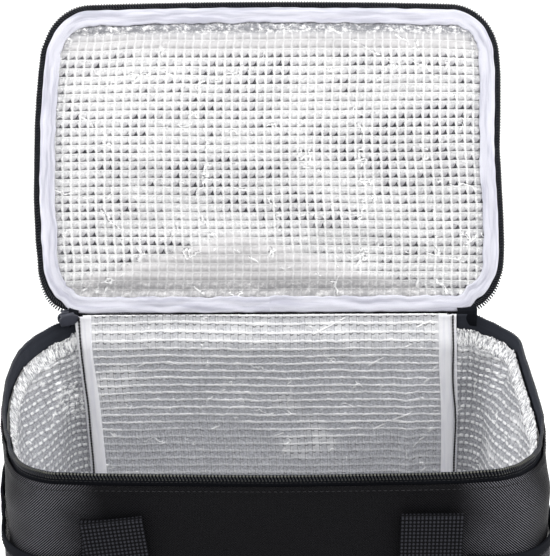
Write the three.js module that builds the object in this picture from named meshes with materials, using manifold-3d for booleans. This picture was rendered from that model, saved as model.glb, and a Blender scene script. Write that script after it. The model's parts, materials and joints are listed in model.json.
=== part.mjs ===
// Insulated cooler bag with a zipped lid, two webbing handles and two mesh side pockets.
// Units are millimetres. +Z is up, the front faces -Y and the lid's hinge lies at the back, at +Y.
// The origin is the middle of the base, on the surface that the bag stands on.
import * as THREE from "three";
import { mergeVertices } from "three/addons/utils/BufferGeometryUtils.js";
import Module from "manifold-3d";

const wasm = await Module();
wasm.setup();

// Body
const BAG_WIDTH = 284;
const BAG_DEPTH = 186;
const RIM_HEIGHT = 200;
const CORNER_RADIUS = 30;
const CORNER_STEPS = 7;
const CURVE_STEPS = 6;
const BACK_SEAM_FROM_SIDE = 32;
const FOAM_BELOW_FOLD = 1;
const BACK_BELOW_RIM = 1.5;

// Layers of the walls and the lid
const FIT = 0.3;
const FABRIC = 1.0;
const FOAM = 5.0;
const LINING = 0.8;

// Zip
const TAPE = 0.8;
const TAPE_SHOWN = 8;
const TAPE_SEWN = 9.5;
const CHAIN_WIDTH = 3.0;
const CHAIN_THICKNESS = 2.2;
const TOOTH_PITCH = 3.0;
const TOOTH_DEPTH = 1.2;
const ZIP_END_PAST_SEAM = 11;

// Slider and pull
const SLIDER_LENGTH = 11;
const SLIDER_WIDTH = 7.4;
const SLIDER_PAST_TAPE = 2.75;
const SLIDER_PLATE = 1.1;
const SLIDER_NOSE = 4.6;
const SLIDER_SHOULDER = 0.45;
const POST_LENGTH = 3.2;
const POST_WIDTH = 2.2;
const FLANGE = 0.8;
const TAPE_SLOT = 2.6;
const BRIDGE_LENGTH = 7.0;
const BRIDGE_WIDTH = 2.2;
const BRIDGE_BAR = 1.1;
const BRIDGE_LEG = 1.5;
const PULL_LENGTH = 26;
const PULL_WIDTH = 8;
const PULL_THICKNESS = 1.2;
const PULL_PLAY = 0.35;
const PULL_TIP_WIDTH = 6.5;

// End tab of the zip
const END_TAB_PLY = 0.8;

// White seam bindings
const BINDING_WIDTH = 10.5;
const BINDING_THICKNESS = 1.0;
const LID_BINDING_WIDTH = 8.5;
const LID_BINDING_INSET = 4.3;

// Lid
const LID_OPEN_DEG = 116;
const LID_CROWN = 1.5;
const LID_CROWN_INSET = 22;
const LID_EDGE_ROUND = 2.0;

// Webbing handles
const WEBBING_WIDTH = 32;
const WEBBING = 1.6;
const STRAP_FROM_SIDE = 61;
const FOLD_BELOW_RIM = 23;
const LEG_LENGTH = 85;
const ARCH_DROP = 62;
const ARCH_STEPS = 16;
const FOLD_STEPS = 5;

// Mesh side pockets
const POCKET_TOP_BELOW_RIM = 48;
const POCKET_FOOT = 8;
const POCKET_STAND_OFF = 4.6;
const POCKET_MESH = 0.8;
const POCKET_TAPER = 46;
const POCKET_BELLY = 0.3;
const POCKET_STEPS = 3;
const POCKET_BINDING_HEIGHT = 6.5;

const BLACK_FABRIC = { color: 0x26272d, roughness: 0.85, metalness: 0 };
const BLACK_WEBBING = { color: 0x17181c, roughness: 0.8, metalness: 0 };
const BLACK_TAPE = { color: 0x141418, roughness: 0.75, metalness: 0 };
const BLACK_COIL = { color: 0x1c1c22, roughness: 0.4, metalness: 0 };
const SLATE_METAL = { color: 0x45464f, roughness: 0.45, metalness: 0.6 };
const WHITE_BINDING = { color: 0xdfdfe8, roughness: 0.9, metalness: 0 };
const FOIL = { color: 0xb8b9bd, roughness: 0.3, metalness: 0.8 };
const FOAM_GREY = { color: 0xe6e6e4, roughness: 0.95, metalness: 0 };
const MESH_GREY = { color: 0x4f4d4c, roughness: 0.9, metalness: 0 };

// Heights and depths that several pieces share
const HALF_WIDTH = BAG_WIDTH / 2;
const HALF_DEPTH = BAG_DEPTH / 2;
const BACK_SEAM_X = HALF_WIDTH - BACK_SEAM_FROM_SIDE;
const ZIP_END_X = BACK_SEAM_X + ZIP_END_PAST_SEAM;
const HANDLE_X = HALF_WIDTH - STRAP_FROM_SIDE;
const FABRIC_TOP = RIM_HEIGHT - TAPE_SHOWN - FIT;
const CHAIN_TOP = RIM_HEIGHT - FIT / 2;
const WALL_FOOT = FABRIC + FIT;
const FOAM_IN = FABRIC + FIT;
const LINING_IN = FOAM_IN + FOAM + FIT;
const LINING_FACE = LINING_IN + LINING;
const BINDING_IN = LINING_FACE + FIT;
const LINING_FLOOR = WALL_FOOT + FOAM + FIT + LINING;
const FOAM_TOP = FABRIC_TOP - FOAM_BELOW_FOLD;
const BACK_TOP = RIM_HEIGHT - BACK_BELOW_RIM;

// The bag's plan is a rounded rectangle. A distance along it starts at the middle of the back
// and runs round by the left side, the front and the right side.
const SIDE_STRAIGHT = BAG_DEPTH - 2 * CORNER_RADIUS;
const HALF_STRAIGHT = HALF_WIDTH - CORNER_RADIUS;
const ARC = (Math.PI / 2) * CORNER_RADIUS;
const PLAN_LENGTH = 4 * HALF_STRAIGHT + 2 * SIDE_STRAIGHT + 4 * ARC;

const PLAN = [
  { length: HALF_STRAIGHT, from: [0, HALF_DEPTH], heading: 180 },
  { length: ARC, centre: [-HALF_STRAIGHT, HALF_DEPTH - CORNER_RADIUS], heading: 180 },
  { length: SIDE_STRAIGHT, from: [-HALF_WIDTH, HALF_DEPTH - CORNER_RADIUS], heading: 270 },
  { length: ARC, centre: [-HALF_STRAIGHT, CORNER_RADIUS - HALF_DEPTH], heading: 270 },
  { length: 2 * HALF_STRAIGHT, from: [-HALF_STRAIGHT, -HALF_DEPTH], heading: 0 },
  { length: ARC, centre: [HALF_STRAIGHT, CORNER_RADIUS - HALF_DEPTH], heading: 0 },
  { length: SIDE_STRAIGHT, from: [HALF_WIDTH, CORNER_RADIUS - HALF_DEPTH], heading: 90 },
  { length: ARC, centre: [HALF_STRAIGHT, HALF_DEPTH - CORNER_RADIUS], heading: 90 },
  { length: HALF_STRAIGHT, from: [HALF_STRAIGHT, HALF_DEPTH], heading: 180 },
];

// Place on the plan at a distance along it, with the outward direction there
function planAt(distance) {
  let left = ((distance % PLAN_LENGTH) + PLAN_LENGTH) % PLAN_LENGTH;
  let stretch = PLAN[0];
  for (stretch of PLAN) {
    if (left <= stretch.length) break;
    left -= stretch.length;
  }
  const turned = stretch.centre ? left / CORNER_RADIUS : 0;
  const heading = THREE.MathUtils.degToRad(stretch.heading) + turned;
  const out = new THREE.Vector2(Math.sin(heading), -Math.cos(heading));
  const along = new THREE.Vector2(Math.cos(heading), Math.sin(heading));
  const place = stretch.centre
    ? new THREE.Vector2(...stretch.centre).addScaledVector(out, CORNER_RADIUS)
    : new THREE.Vector2(...stretch.from).addScaledVector(along, left);
  return { place, out, along, distance };
}

// Distances where the plan changes from straight to round, and the steps of its corners
function planBreaks() {
  const breaks = [];
  let start = 0;
  for (const { length, centre } of PLAN) {
    const steps = centre ? CORNER_STEPS : 1;
    for (let i = 0; i < steps; i++) breaks.push(start + (length * i) / steps);
    start += length;
  }
  return breaks;
}

const BREAKS = planBreaks();

// Stations from one distance to another, by way of every break between them
function stretchOf(from, to) {
  const between = BREAKS.filter((d) => d > from + 0.01 && d < to - 0.01);
  return [from, ...between, to].map(planAt);
}

function wholePlan() {
  return BREAKS.map(planAt);
}

// Distance along the plan of a place on its left back corner or back straight, from its x
function backDistance(x) {
  const past = Math.max(0, x - HALF_STRAIGHT);
  return Math.min(x, HALF_STRAIGHT) + Math.asin(past / CORNER_RADIUS) * CORNER_RADIUS;
}

// Closed solid through a row of equal sections, capped at both ends or joined into a ring
function skin(sections, ring = false) {
  const count = sections[0].length;
  const rows = sections.length;
  const index = [];
  for (let i = 0; i < (ring ? rows : rows - 1); i++) {
    const here = i * count;
    const next = ((i + 1) % rows) * count;
    for (let j = 0; j < count; j++) {
      const k = (j + 1) % count;
      index.push(here + j, next + j, next + k, here + j, next + k, here + k);
    }
  }
  if (!ring) {
    index.push(...cap(sections[0], 0));
    index.push(...cap(sections[rows - 1], (rows - 1) * count).reverse());
  }
  const geometry = new THREE.BufferGeometry();
  const corners = sections.flat().flatMap((p) => [p.x, p.y, p.z]);
  geometry.setAttribute("position", new THREE.Float32BufferAttribute(corners, 3));
  geometry.setIndex(volumeOf(corners, index) < 0 ? index.reverse() : index);
  return geometry;
}

// Triangles that close one section, wound as its points run
function cap(section, first) {
  const normal = new THREE.Vector3();
  section.forEach((p, i) => normal.add(p.clone().cross(section[(i + 1) % section.length])));
  normal.normalize();
  const side = Math.abs(normal.x) < 0.7 ? new THREE.Vector3(1, 0, 0) : new THREE.Vector3(0, 1, 0);
  const u = side.cross(normal).normalize();
  const v = normal.clone().cross(u);
  const flat = section.map((p) => new THREE.Vector2(p.dot(u), p.dot(v)));
  return THREE.ShapeUtils.triangulateShape(flat, []).flatMap(([a, b, c]) => {
    const turn = flat[b].clone().sub(flat[a]).cross(flat[c].clone().sub(flat[a]));
    return (turn > 0 ? [a, b, c] : [a, c, b]).map((i) => i + first);
  });
}

function volumeOf(corners, index) {
  let sum = 0;
  for (let i = 0; i < index.length; i += 3) {
    const [a, b, c] = [0, 1, 2].map((k) => new THREE.Vector3().fromArray(corners, index[i + k] * 3));
    sum += a.dot(b.cross(c));
  }
  return sum;
}

// Section of a band at a station: its profile is a row of [outward, height] places
function sectionAt({ place, out }, profile) {
  return profile.map(
    ([away, height]) => new THREE.Vector3(place.x + out.x * away, place.y + out.y * away, height),
  );
}

// Band along the plan from a distance to another, with the same profile or one for each station
function band(from, to, profile) {
  return skin(
    stretchOf(from, to).map((s) => sectionAt(s, typeof profile === "function" ? profile(s) : profile)),
  );
}

// Band all round the plan
function hoop(profile) {
  return skin(
    wholePlan().map((s) => sectionAt(s, profile)),
    true,
  );
}

// Plate or tray whose outline is the plan, through rings of [outward, height]
function stack(rings) {
  return skin(rings.map(([away, height]) => wholePlan().flatMap((s) => sectionAt(s, [[away, height]]))));
}

function rectangle(near, far, low, high) {
  return [
    [near, low],
    [far, low],
    [far, high],
    [near, high],
  ];
}

function solidOf(geometry) {
  const bare = geometry.clone();
  bare.deleteAttribute("normal");
  bare.deleteAttribute("uv");
  const merged = mergeVertices(bare, 1e-4);
  return new wasm.Manifold(
    new wasm.Mesh({
      numProp: 3,
      vertProperties: new Float32Array(merged.attributes.position.array),
      triVerts: new Uint32Array(merged.index.array),
    }),
  );
}

function geometryOf(solid) {
  const { vertProperties, triVerts } = solid.getMesh();
  const geometry = new THREE.BufferGeometry();
  geometry.setAttribute("position", new THREE.BufferAttribute(vertProperties, 3));
  geometry.setIndex(new THREE.BufferAttribute(triVerts, 1));
  return geometry;
}

function pieceOf(name, geometry, finish) {
  const flat = geometry.index ? geometry.toNonIndexed() : geometry;
  flat.computeVertexNormals();
  const piece = new THREE.Mesh(flat, new THREE.MeshStandardMaterial(finish));
  piece.name = name;
  return piece;
}

// Walls: the wrap is one sheet for the front, the corners and the sides, sewn to the back panel
const WRAP_FROM = BACK_SEAM_X + FIT / 2;
const WRAP_TO = PLAN_LENGTH - WRAP_FROM;
const PANEL_HALF = BACK_SEAM_X - FIT / 2;

function outerWrap() {
  const profile = rectangle(0, -FABRIC, WALL_FOOT, FABRIC_TOP);
  return pieceOf("outer_wrap", band(WRAP_FROM, WRAP_TO, profile), BLACK_FABRIC);
}

function outerBackPanel() {
  const profile = rectangle(0, -FABRIC, WALL_FOOT, FABRIC_TOP);
  return pieceOf("outer_back_panel", band(-PANEL_HALF, PANEL_HALF, profile), BLACK_FABRIC);
}

function outerBase() {
  return pieceOf(
    "outer_base",
    stack([
      [0, 0],
      [0, FABRIC],
    ]),
    BLACK_FABRIC,
  );
}

// The wrap's foam is thinner behind the sewn part of the zip tape
function wrapFoam() {
  const behindTape = -(FOAM_IN + TAPE + FIT);
  const tapeFoot = FABRIC_TOP - TAPE_SEWN - FIT;
  const profile = [
    [-FOAM_IN, WALL_FOOT],
    [-FOAM_IN, tapeFoot],
    [behindTape, tapeFoot],
    [behindTape, FOAM_TOP],
    [-(FOAM_IN + FOAM), FOAM_TOP],
    [-(FOAM_IN + FOAM), WALL_FOOT],
  ];
  return pieceOf("wrap_foam", band(WRAP_FROM, WRAP_TO, profile), FOAM_GREY);
}

function backFoam() {
  const profile = rectangle(-FOAM_IN, -(FOAM_IN + FOAM), WALL_FOOT, BACK_TOP - FIT);
  return pieceOf("back_foam", band(-PANEL_HALF, PANEL_HALF, profile), FOAM_GREY);
}

function baseFoam() {
  return pieceOf(
    "base_foam",
    stack([
      [-LINING_IN, WALL_FOOT],
      [-LINING_IN, WALL_FOOT + FOAM],
    ]),
    FOAM_GREY,
  );
}

function liningWrap() {
  const profile = rectangle(-LINING_IN, -LINING_FACE, LINING_FLOOR + FIT, FOAM_TOP + FIT);
  return pieceOf("lining_wrap", band(WRAP_FROM, WRAP_TO, profile), FOIL);
}

function liningBack() {
  const profile = rectangle(-LINING_IN, -LINING_FACE, LINING_FLOOR + FIT, BACK_TOP);
  return pieceOf("lining_back", band(-PANEL_HALF, PANEL_HALF, profile), FOIL);
}

function liningBase() {
  return pieceOf(
    "lining_base",
    stack([
      [-LINING_IN, LINING_FLOOR - LINING],
      [-LINING_IN, LINING_FLOOR],
    ]),
    FOIL,
  );
}

// White tapes over the inner seams: two upright ones at the back and one round the floor
const FLOOR_BINDING_TOP = LINING_FLOOR + FIT + BINDING_WIDTH;

function floorBinding() {
  const face = BINDING_IN + BINDING_THICKNESS;
  const profile = rectangle(-BINDING_IN, -face, LINING_FLOOR + FIT, FLOOR_BINDING_TOP);
  return pieceOf("floor_seam_binding", hoop(profile), WHITE_BINDING);
}

function seamBinding(name, side) {
  const face = BINDING_IN + BINDING_THICKNESS;
  const middle = side < 0 ? BACK_SEAM_X : PLAN_LENGTH - BACK_SEAM_X;
  const profile = rectangle(-BINDING_IN, -face, FLOOR_BINDING_TOP + FIT, BACK_TOP);
  const reach = BINDING_WIDTH / 2;
  return pieceOf(name, band(middle - reach, middle + reach, profile), WHITE_BINDING);
}

// Slider, made lying along X with its width along Y and its outer face up, and then placed
const SLIDER_TOP = RIM_HEIGHT - FIT;
const SLIDER_MIDDLE = SLIDER_TOP - SLIDER_WIDTH / 2;
const TAPE_OUT = FABRIC + FIT;
const TAPE_MIDDLE = TAPE_OUT + TAPE / 2;
const PLATE_GAP = CHAIN_THICKNESS + 4 * FIT;
const SLIDER_FROM = backDistance(ZIP_END_X - SLIDER_PAST_TAPE);

function extruded(shape, low, high) {
  const depth = high - low;
  const geometry = new THREE.ExtrudeGeometry(shape, { depth, bevelEnabled: false, curveSegments: CURVE_STEPS });
  return geometry.translate(0, 0, low);
}

function sliderPlateShape() {
  const half = SLIDER_WIDTH / 2;
  const nose = SLIDER_NOSE / 2;
  const shoulder = SLIDER_LENGTH * SLIDER_SHOULDER;
  const shape = new THREE.Shape();
  shape.moveTo(0, -nose);
  shape.quadraticCurveTo(shoulder / 2, -half, shoulder, -half);
  shape.lineTo(SLIDER_LENGTH, -half);
  shape.lineTo(SLIDER_LENGTH, half);
  shape.lineTo(shoulder, half);
  shape.quadraticCurveTo(shoulder / 2, half, 0, nose);
  return shape;
}

function postShape(grow) {
  const middle = SLIDER_LENGTH - POST_LENGTH / 2 - FIT;
  const shape = new THREE.Shape();
  shape.moveTo(middle - POST_LENGTH / 2 - grow, 0);
  shape.lineTo(middle, -POST_WIDTH / 2 - grow);
  shape.lineTo(middle + POST_LENGTH / 2 + grow, 0);
  shape.lineTo(middle, POST_WIDTH / 2 + grow);
  return shape;
}

function box(x, y, z, dx, dy, dz) {
  return new THREE.BoxGeometry(dx, dy, dz).translate(x + dx / 2, y + dy / 2, z + dz / 2);
}

// The flanges leave the tape its slot along the lower edge
function flange(edge, inner) {
  const half = SLIDER_WIDTH / 2;
  const depth = (PLATE_GAP - TAPE_SLOT) / 2;
  const start = SLIDER_LENGTH * SLIDER_SHOULDER;
  const low = inner ? -PLATE_GAP / 2 - FIT : PLATE_GAP / 2 - depth;
  const y = edge < 0 ? -half : half - FLANGE;
  return box(start, y, low, SLIDER_LENGTH - start, FLANGE, depth + FIT);
}

const BRIDGE_START = (SLIDER_LENGTH - BRIDGE_LENGTH) / 2;
const BRIDGE_WINDOW = PULL_THICKNESS + 2 * PULL_PLAY;
const OUTER_FACE = PLATE_GAP / 2 + SLIDER_PLATE;

function bridge() {
  const shape = new THREE.Shape();
  const end = BRIDGE_START + BRIDGE_LENGTH;
  const top = OUTER_FACE + BRIDGE_WINDOW + BRIDGE_BAR;
  shape.moveTo(BRIDGE_START, OUTER_FACE - FIT);
  shape.lineTo(BRIDGE_START + BRIDGE_LEG, OUTER_FACE - FIT);
  shape.lineTo(BRIDGE_START + BRIDGE_LEG, OUTER_FACE + BRIDGE_WINDOW);
  shape.lineTo(end - BRIDGE_LEG, OUTER_FACE + BRIDGE_WINDOW);
  shape.lineTo(end - BRIDGE_LEG, OUTER_FACE - FIT);
  shape.lineTo(end, OUTER_FACE - FIT);
  shape.lineTo(end, top - BRIDGE_BAR / 2);
  shape.lineTo(end - BRIDGE_BAR, top);
  shape.lineTo(BRIDGE_START + BRIDGE_BAR, top);
  shape.lineTo(BRIDGE_START, top - BRIDGE_BAR / 2);
  return extruded(shape, -BRIDGE_WIDTH / 2, BRIDGE_WIDTH / 2).rotateX(Math.PI / 2);
}

// Matrix that takes the slider's own frame to its parked place on the left end of the zip
function sliderPlace() {
  const { place, out, along } = planAt(SLIDER_FROM + SLIDER_LENGTH / 2);
  const x = new THREE.Vector3(along.x, along.y, 0);
  const z = new THREE.Vector3(out.x, out.y, 0);
  const y = z.clone().cross(x);
  const origin = new THREE.Vector3(place.x, place.y, SLIDER_MIDDLE)
    .addScaledVector(z, -TAPE_MIDDLE)
    .addScaledVector(x, -SLIDER_LENGTH / 2);
  return new THREE.Matrix4().makeBasis(x, y, z).setPosition(origin);
}

function zipSlider() {
  let solid = solidOf(extruded(sliderPlateShape(), PLATE_GAP / 2, OUTER_FACE));
  const others = [
    extruded(sliderPlateShape(), -OUTER_FACE, -PLATE_GAP / 2),
    extruded(postShape(0), -PLATE_GAP / 2 - FIT, PLATE_GAP / 2 + FIT),
    flange(-1, true),
    flange(-1, false),
    flange(1, true),
    flange(1, false),
    bridge(),
  ];
  for (const other of others) solid = solid.add(solidOf(other));
  return pieceOf("zip_slider", geometryOf(solid).applyMatrix4(sliderPlace()), SLATE_METAL);
}

// The pull hangs from the bridge's leg at the narrow end, through its eye
const PULL_EYE_X = BRIDGE_START + BRIDGE_LEG / 2;

function zipPull() {
  const half = PULL_WIDTH / 2;
  const tip = PULL_TIP_WIDTH / 2;
  const eyeHalfX = BRIDGE_LEG / 2 + PULL_PLAY;
  const eyeHalfY = BRIDGE_WIDTH / 2 + PULL_PLAY;
  const eye = Math.hypot(eyeHalfX, eyeHalfY);
  const shape = new THREE.Shape();
  const top = half - FIT;
  shape.absarc(0, 0, top, 0, Math.PI);
  shape.lineTo(-tip, tip - PULL_LENGTH);
  shape.absarc(0, tip - PULL_LENGTH, tip, Math.PI, 2 * Math.PI);
  const hole = new THREE.Path();
  hole.absarc(0, 0, eye, 0, 2 * Math.PI, true);
  shape.holes.push(hole);
  const low = OUTER_FACE + PULL_PLAY;
  const tab = extruded(shape, low, low + PULL_THICKNESS).translate(PULL_EYE_X, 0, 0);
  return pieceOf("zip_pull", tab.applyMatrix4(sliderPlace()), SLATE_METAL);
}

// Body side of the zip: the tape stands up from inside the wrap and carries the chain on its edge
const CHAIN_FROM = SLIDER_FROM + SLIDER_LENGTH + FIT;
const CHAIN_TO = PLAN_LENGTH - backDistance(ZIP_END_X);
const TAPE_TO = PLAN_LENGTH - BACK_SEAM_X - FIT;

function bodyZipTape() {
  const top = CHAIN_TOP - CHAIN_WIDTH - FIT;
  const profile = rectangle(-TAPE_OUT, -TAPE_OUT - TAPE, FABRIC_TOP - TAPE_SEWN, top);
  const from = SLIDER_FROM + SLIDER_PAST_TAPE;
  const depth = SLIDER_WIDTH;
  const room = extruded(postShape(FIT), -depth, depth).applyMatrix4(sliderPlace());
  const above = box(0, 0, -depth, SLIDER_LENGTH, depth, 2 * depth).applyMatrix4(sliderPlace());
  const tape = solidOf(band(from, TAPE_TO, profile)).subtract(solidOf(room)).subtract(solidOf(above));
  return pieceOf("body_zip_tape", geometryOf(tape), BLACK_TAPE);
}

// Chain of teeth along the plan: the section alternates between a tip and a gap
function chain(from, to, toothSection) {
  const halves = 2 * Math.round((to - from) / TOOTH_PITCH);
  const sections = [];
  for (let i = 0; i <= halves; i++) {
    const station = planAt(from + ((to - from) * i) / halves);
    sections.push(sectionAt(station, toothSection(i % 2 ? 0 : TOOTH_DEPTH)));
  }
  return skin(sections);
}

function bodyZipTeeth() {
  const near = TAPE_MIDDLE - CHAIN_THICKNESS / 2;
  const far = near + CHAIN_THICKNESS;
  const teeth = chain(CHAIN_FROM, CHAIN_TO, (gap) =>
    rectangle(-near, -far, CHAIN_TOP - CHAIN_WIDTH, CHAIN_TOP - gap),
  );
  return pieceOf("body_zip_teeth", teeth, BLACK_COIL);
}

// Folded tab over the joined end of the zip, at the right end of the hinge
function zipEndTab() {
  const near = TAPE_OUT - FIT;
  const far = TAPE_OUT + TAPE + FIT;
  const top = RIM_HEIGHT - FIT;
  const profile = [
    [-(near - END_TAB_PLY), FABRIC_TOP + FIT],
    [-near, FABRIC_TOP + FIT],
    [-near, top - END_TAB_PLY],
    [-far, top - END_TAB_PLY],
    [-far, FABRIC_TOP + FIT],
    [-(far + END_TAB_PLY), FABRIC_TOP + FIT],
    [-(far + END_TAB_PLY), top],
    [-(near - END_TAB_PLY), top],
  ];
  return pieceOf("zip_end_tab", band(CHAIN_TO + FIT, TAPE_TO - FIT / 2, profile), BLACK_FABRIC);
}

// Fabric hinge: one half stands on the back panel and the other is the lid's back edge
function hingeStrip() {
  const from = -(BACK_SEAM_X - 2 * FIT);
  const to = SLIDER_FROM - FIT;
  const profile = rectangle(0, -FABRIC, FABRIC_TOP + FIT, RIM_HEIGHT - FIT / 2);
  return pieceOf("hinge_strip", band(from, to, profile), BLACK_FABRIC);
}

// Webbing straps sewn flat to the panels, from the base up to the fold of the handle
const STRAP_IN = FIT;
const STRAP_FACE = STRAP_IN + WEBBING;
const FOLD_HEIGHT = RIM_HEIGHT - FOLD_BELOW_RIM;
const FOLD_RADIUS = WEBBING + FIT / 2;
const STRAP_TOP = FOLD_HEIGHT - FOLD_RADIUS - FIT;

function strap(name, side, facing) {
  const geometry = new THREE.BoxGeometry(WEBBING_WIDTH, WEBBING, STRAP_TOP - WALL_FOOT);
  const y = facing * (HALF_DEPTH + STRAP_IN + WEBBING / 2);
  geometry.translate(side * HANDLE_X, y, (STRAP_TOP + WALL_FOOT) / 2);
  return pieceOf(name, geometry, BLACK_WEBBING);
}

// Handle loop: the fold over the end of the strap, a leg, the arch, the other leg and fold.
// Each section is a centre with the direction of the webbing's width and of its thickness.
function handle(name, facing) {
  const away = STRAP_FACE + FIT / 2;
  const middle = WEBBING / 2 + FIT / 2;
  const half = [];
  for (let i = 0; i <= FOLD_STEPS; i++) {
    const turn = (Math.PI * i) / FOLD_STEPS;
    half.push({
      x: -HANDLE_X,
      y: away - middle * Math.cos(turn),
      z: FOLD_HEIGHT + middle * Math.sin(turn),
      wide: new THREE.Vector3(1, 0, 0),
      thick: new THREE.Vector3(0, -Math.cos(turn) * facing, Math.sin(turn)),
    });
  }
  for (let i = 0; i <= ARCH_STEPS / 2; i++) {
    const turn = (Math.PI * i) / ARCH_STEPS;
    const across = new THREE.Vector2(Math.cos(turn) / HANDLE_X, Math.sin(turn) / ARCH_DROP).normalize();
    half.push({
      x: -HANDLE_X * Math.cos(turn),
      y: away + middle,
      z: FOLD_HEIGHT - LEG_LENGTH - ARCH_DROP * Math.sin(turn),
      wide: new THREE.Vector3(across.x, 0, across.y),
      thick: new THREE.Vector3(0, facing, 0),
    });
  }
  const otherHalf = half.slice(0, -1).reverse();
  const rest = otherHalf.map((s) => ({ ...s, x: -s.x, wide: new THREE.Vector3(-s.wide.x, 0, s.wide.z) }));
  const sections = [...half, ...rest].map(({ x, y, z, wide, thick }) => {
    const centre = new THREE.Vector3(x, facing * (HALF_DEPTH + y), z);
    return rectangle(-0.5, 0.5, -0.5, 0.5).map(([u, v]) =>
      centre
        .clone()
        .addScaledVector(wide, u * WEBBING_WIDTH)
        .addScaledVector(thick, v * WEBBING),
    );
  });
  return pieceOf(name, skin(sections), BLACK_WEBBING);
}

// Side pockets: mesh sewn to the straps' edges and to the foot of the wall, with a bound top edge
const POCKET_TOP = RIM_HEIGHT - POCKET_TOP_BELOW_RIM;
const POCKET_EDGE = HANDLE_X + WEBBING_WIDTH / 2 + FIT;
const FRONT_MIDDLE = PLAN_LENGTH / 2;

// How far the pocket stands off the wall: sewn down at its two upright edges, open between them
function standOff({ distance }) {
  const fromBack = distance - POCKET_EDGE;
  const fromFront = FRONT_MIDDLE - POCKET_EDGE - distance;
  const share = Math.min(1, Math.min(fromBack, fromFront) / POCKET_TAPER);
  return THREE.MathUtils.lerp(FIT, POCKET_STAND_OFF, THREE.MathUtils.smoothstep(share, 0, 1));
}

function pocketProfile(station) {
  const open = standOff(station);
  const rise = POCKET_TOP - POCKET_BINDING_HEIGHT - FIT - POCKET_FOOT;
  const places = [];
  for (let i = 0; i <= POCKET_STEPS; i++) {
    const share = i / POCKET_STEPS;
    const away = THREE.MathUtils.lerp(FIT, open, Math.sin((share * Math.PI) / 2));
    places.push([away, POCKET_FOOT + rise * POCKET_BELLY * share]);
  }
  places.push([open, POCKET_FOOT + rise]);
  return [...places, ...places.map(([away, height]) => [away + POCKET_MESH, height]).reverse()];
}

function pocketBindingProfile(station) {
  const open = standOff(station);
  return rectangle(open, open + POCKET_MESH + FIT, POCKET_TOP - POCKET_BINDING_HEIGHT, POCKET_TOP);
}

// The right pocket is the left one mirrored across the middle of the bag
function mirrored(geometry) {
  const flipped = geometry.clone().scale(-1, 1, 1);
  flipped.setIndex([...flipped.index.array].reverse());
  return flipped;
}

function pocketPiece(name, side, profile, finish) {
  const left = band(POCKET_EDGE, FRONT_MIDDLE - POCKET_EDGE, profile);
  return pieceOf(name, side < 0 ? left : mirrored(left), finish);
}

// Lid, made closed, with its hinge axis at the back of the rim
const LID_TAPE_LOW = RIM_HEIGHT + FIT / 2 + CHAIN_THICKNESS - TAPE;
const LID_CHAIN_LOW = RIM_HEIGHT + FIT / 2;
const LID_TAPE_TOP = LID_CHAIN_LOW + CHAIN_THICKNESS;
const LID_FOAM_LOW = LID_TAPE_TOP + FIT;
const LID_CEILING = LID_FOAM_LOW + FOAM + FIT;
const LID_TAPE_WIDTH = LID_BINDING_INSET + LID_BINDING_WIDTH / 2 - CHAIN_WIDTH - FIT;
const LID_CHAIN_FROM = backDistance(ZIP_END_X);

function lidOuter() {
  const top = LID_CEILING + FABRIC;
  const geometry = stack([
    [-(2 * FIT + FABRIC), LID_CEILING],
    [-(2 * FIT + FABRIC), LID_FOAM_LOW],
    [-FIT, LID_FOAM_LOW],
    [-FIT, top - LID_EDGE_ROUND],
    [-FIT - LID_EDGE_ROUND, top],
    [-LID_CROWN_INSET, top + LID_CROWN],
  ]);
  return pieceOf("lid_outer", geometry, BLACK_FABRIC);
}

function lidFoam() {
  const inset = 3 * FIT + FABRIC;
  const geometry = stack([
    [-inset, LID_FOAM_LOW],
    [-inset, LID_FOAM_LOW + FOAM],
  ]);
  return pieceOf("lid_foam", geometry, FOAM_GREY);
}

function lidLining() {
  const inset = CHAIN_WIDTH + FIT + LID_TAPE_WIDTH + FIT;
  const geometry = stack([
    [-inset, LID_TAPE_LOW],
    [-inset, LID_TAPE_TOP],
  ]);
  return pieceOf("lid_lining", geometry, FOIL);
}

function lidBinding() {
  const top = LID_TAPE_LOW - FIT;
  const far = LID_BINDING_INSET + LID_BINDING_WIDTH;
  const profile = rectangle(-LID_BINDING_INSET, -far, top - BINDING_THICKNESS, top);
  return pieceOf("lid_binding", hoop(profile), WHITE_BINDING);
}

function lidZipTape() {
  const near = CHAIN_WIDTH + FIT;
  const profile = rectangle(-near, -(near + LID_TAPE_WIDTH), LID_TAPE_LOW, LID_TAPE_TOP);
  const tape = band(LID_CHAIN_FROM, PLAN_LENGTH - LID_CHAIN_FROM, profile);
  return pieceOf("lid_zip_tape", tape, BLACK_TAPE);
}

function lidZipTeeth() {
  const teeth = chain(LID_CHAIN_FROM, PLAN_LENGTH - LID_CHAIN_FROM, (gap) =>
    rectangle(-gap, -CHAIN_WIDTH, LID_CHAIN_LOW, LID_TAPE_TOP),
  );
  return pieceOf("lid_zip_teeth", teeth, BLACK_COIL);
}

function lidHingeStrip() {
  const reach = BACK_SEAM_X - 2 * FIT;
  const profile = rectangle(-FIT / 4, -FABRIC, LID_CHAIN_LOW, LID_TAPE_TOP);
  return pieceOf("lid_hinge_strip", band(-reach, reach, profile), BLACK_FABRIC);
}

function lid() {
  const shut = new THREE.Group();
  shut.add(lidOuter(), lidFoam(), lidLining(), lidBinding(), lidZipTape(), lidZipTeeth(), lidHingeStrip());
  shut.position.set(0, -HALF_DEPTH, -RIM_HEIGHT);
  const hinged = new THREE.Group();
  hinged.add(shut);
  hinged.position.set(0, HALF_DEPTH, RIM_HEIGHT);
  hinged.rotation.x = -THREE.MathUtils.degToRad(LID_OPEN_DEG);
  return hinged;
}

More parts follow.
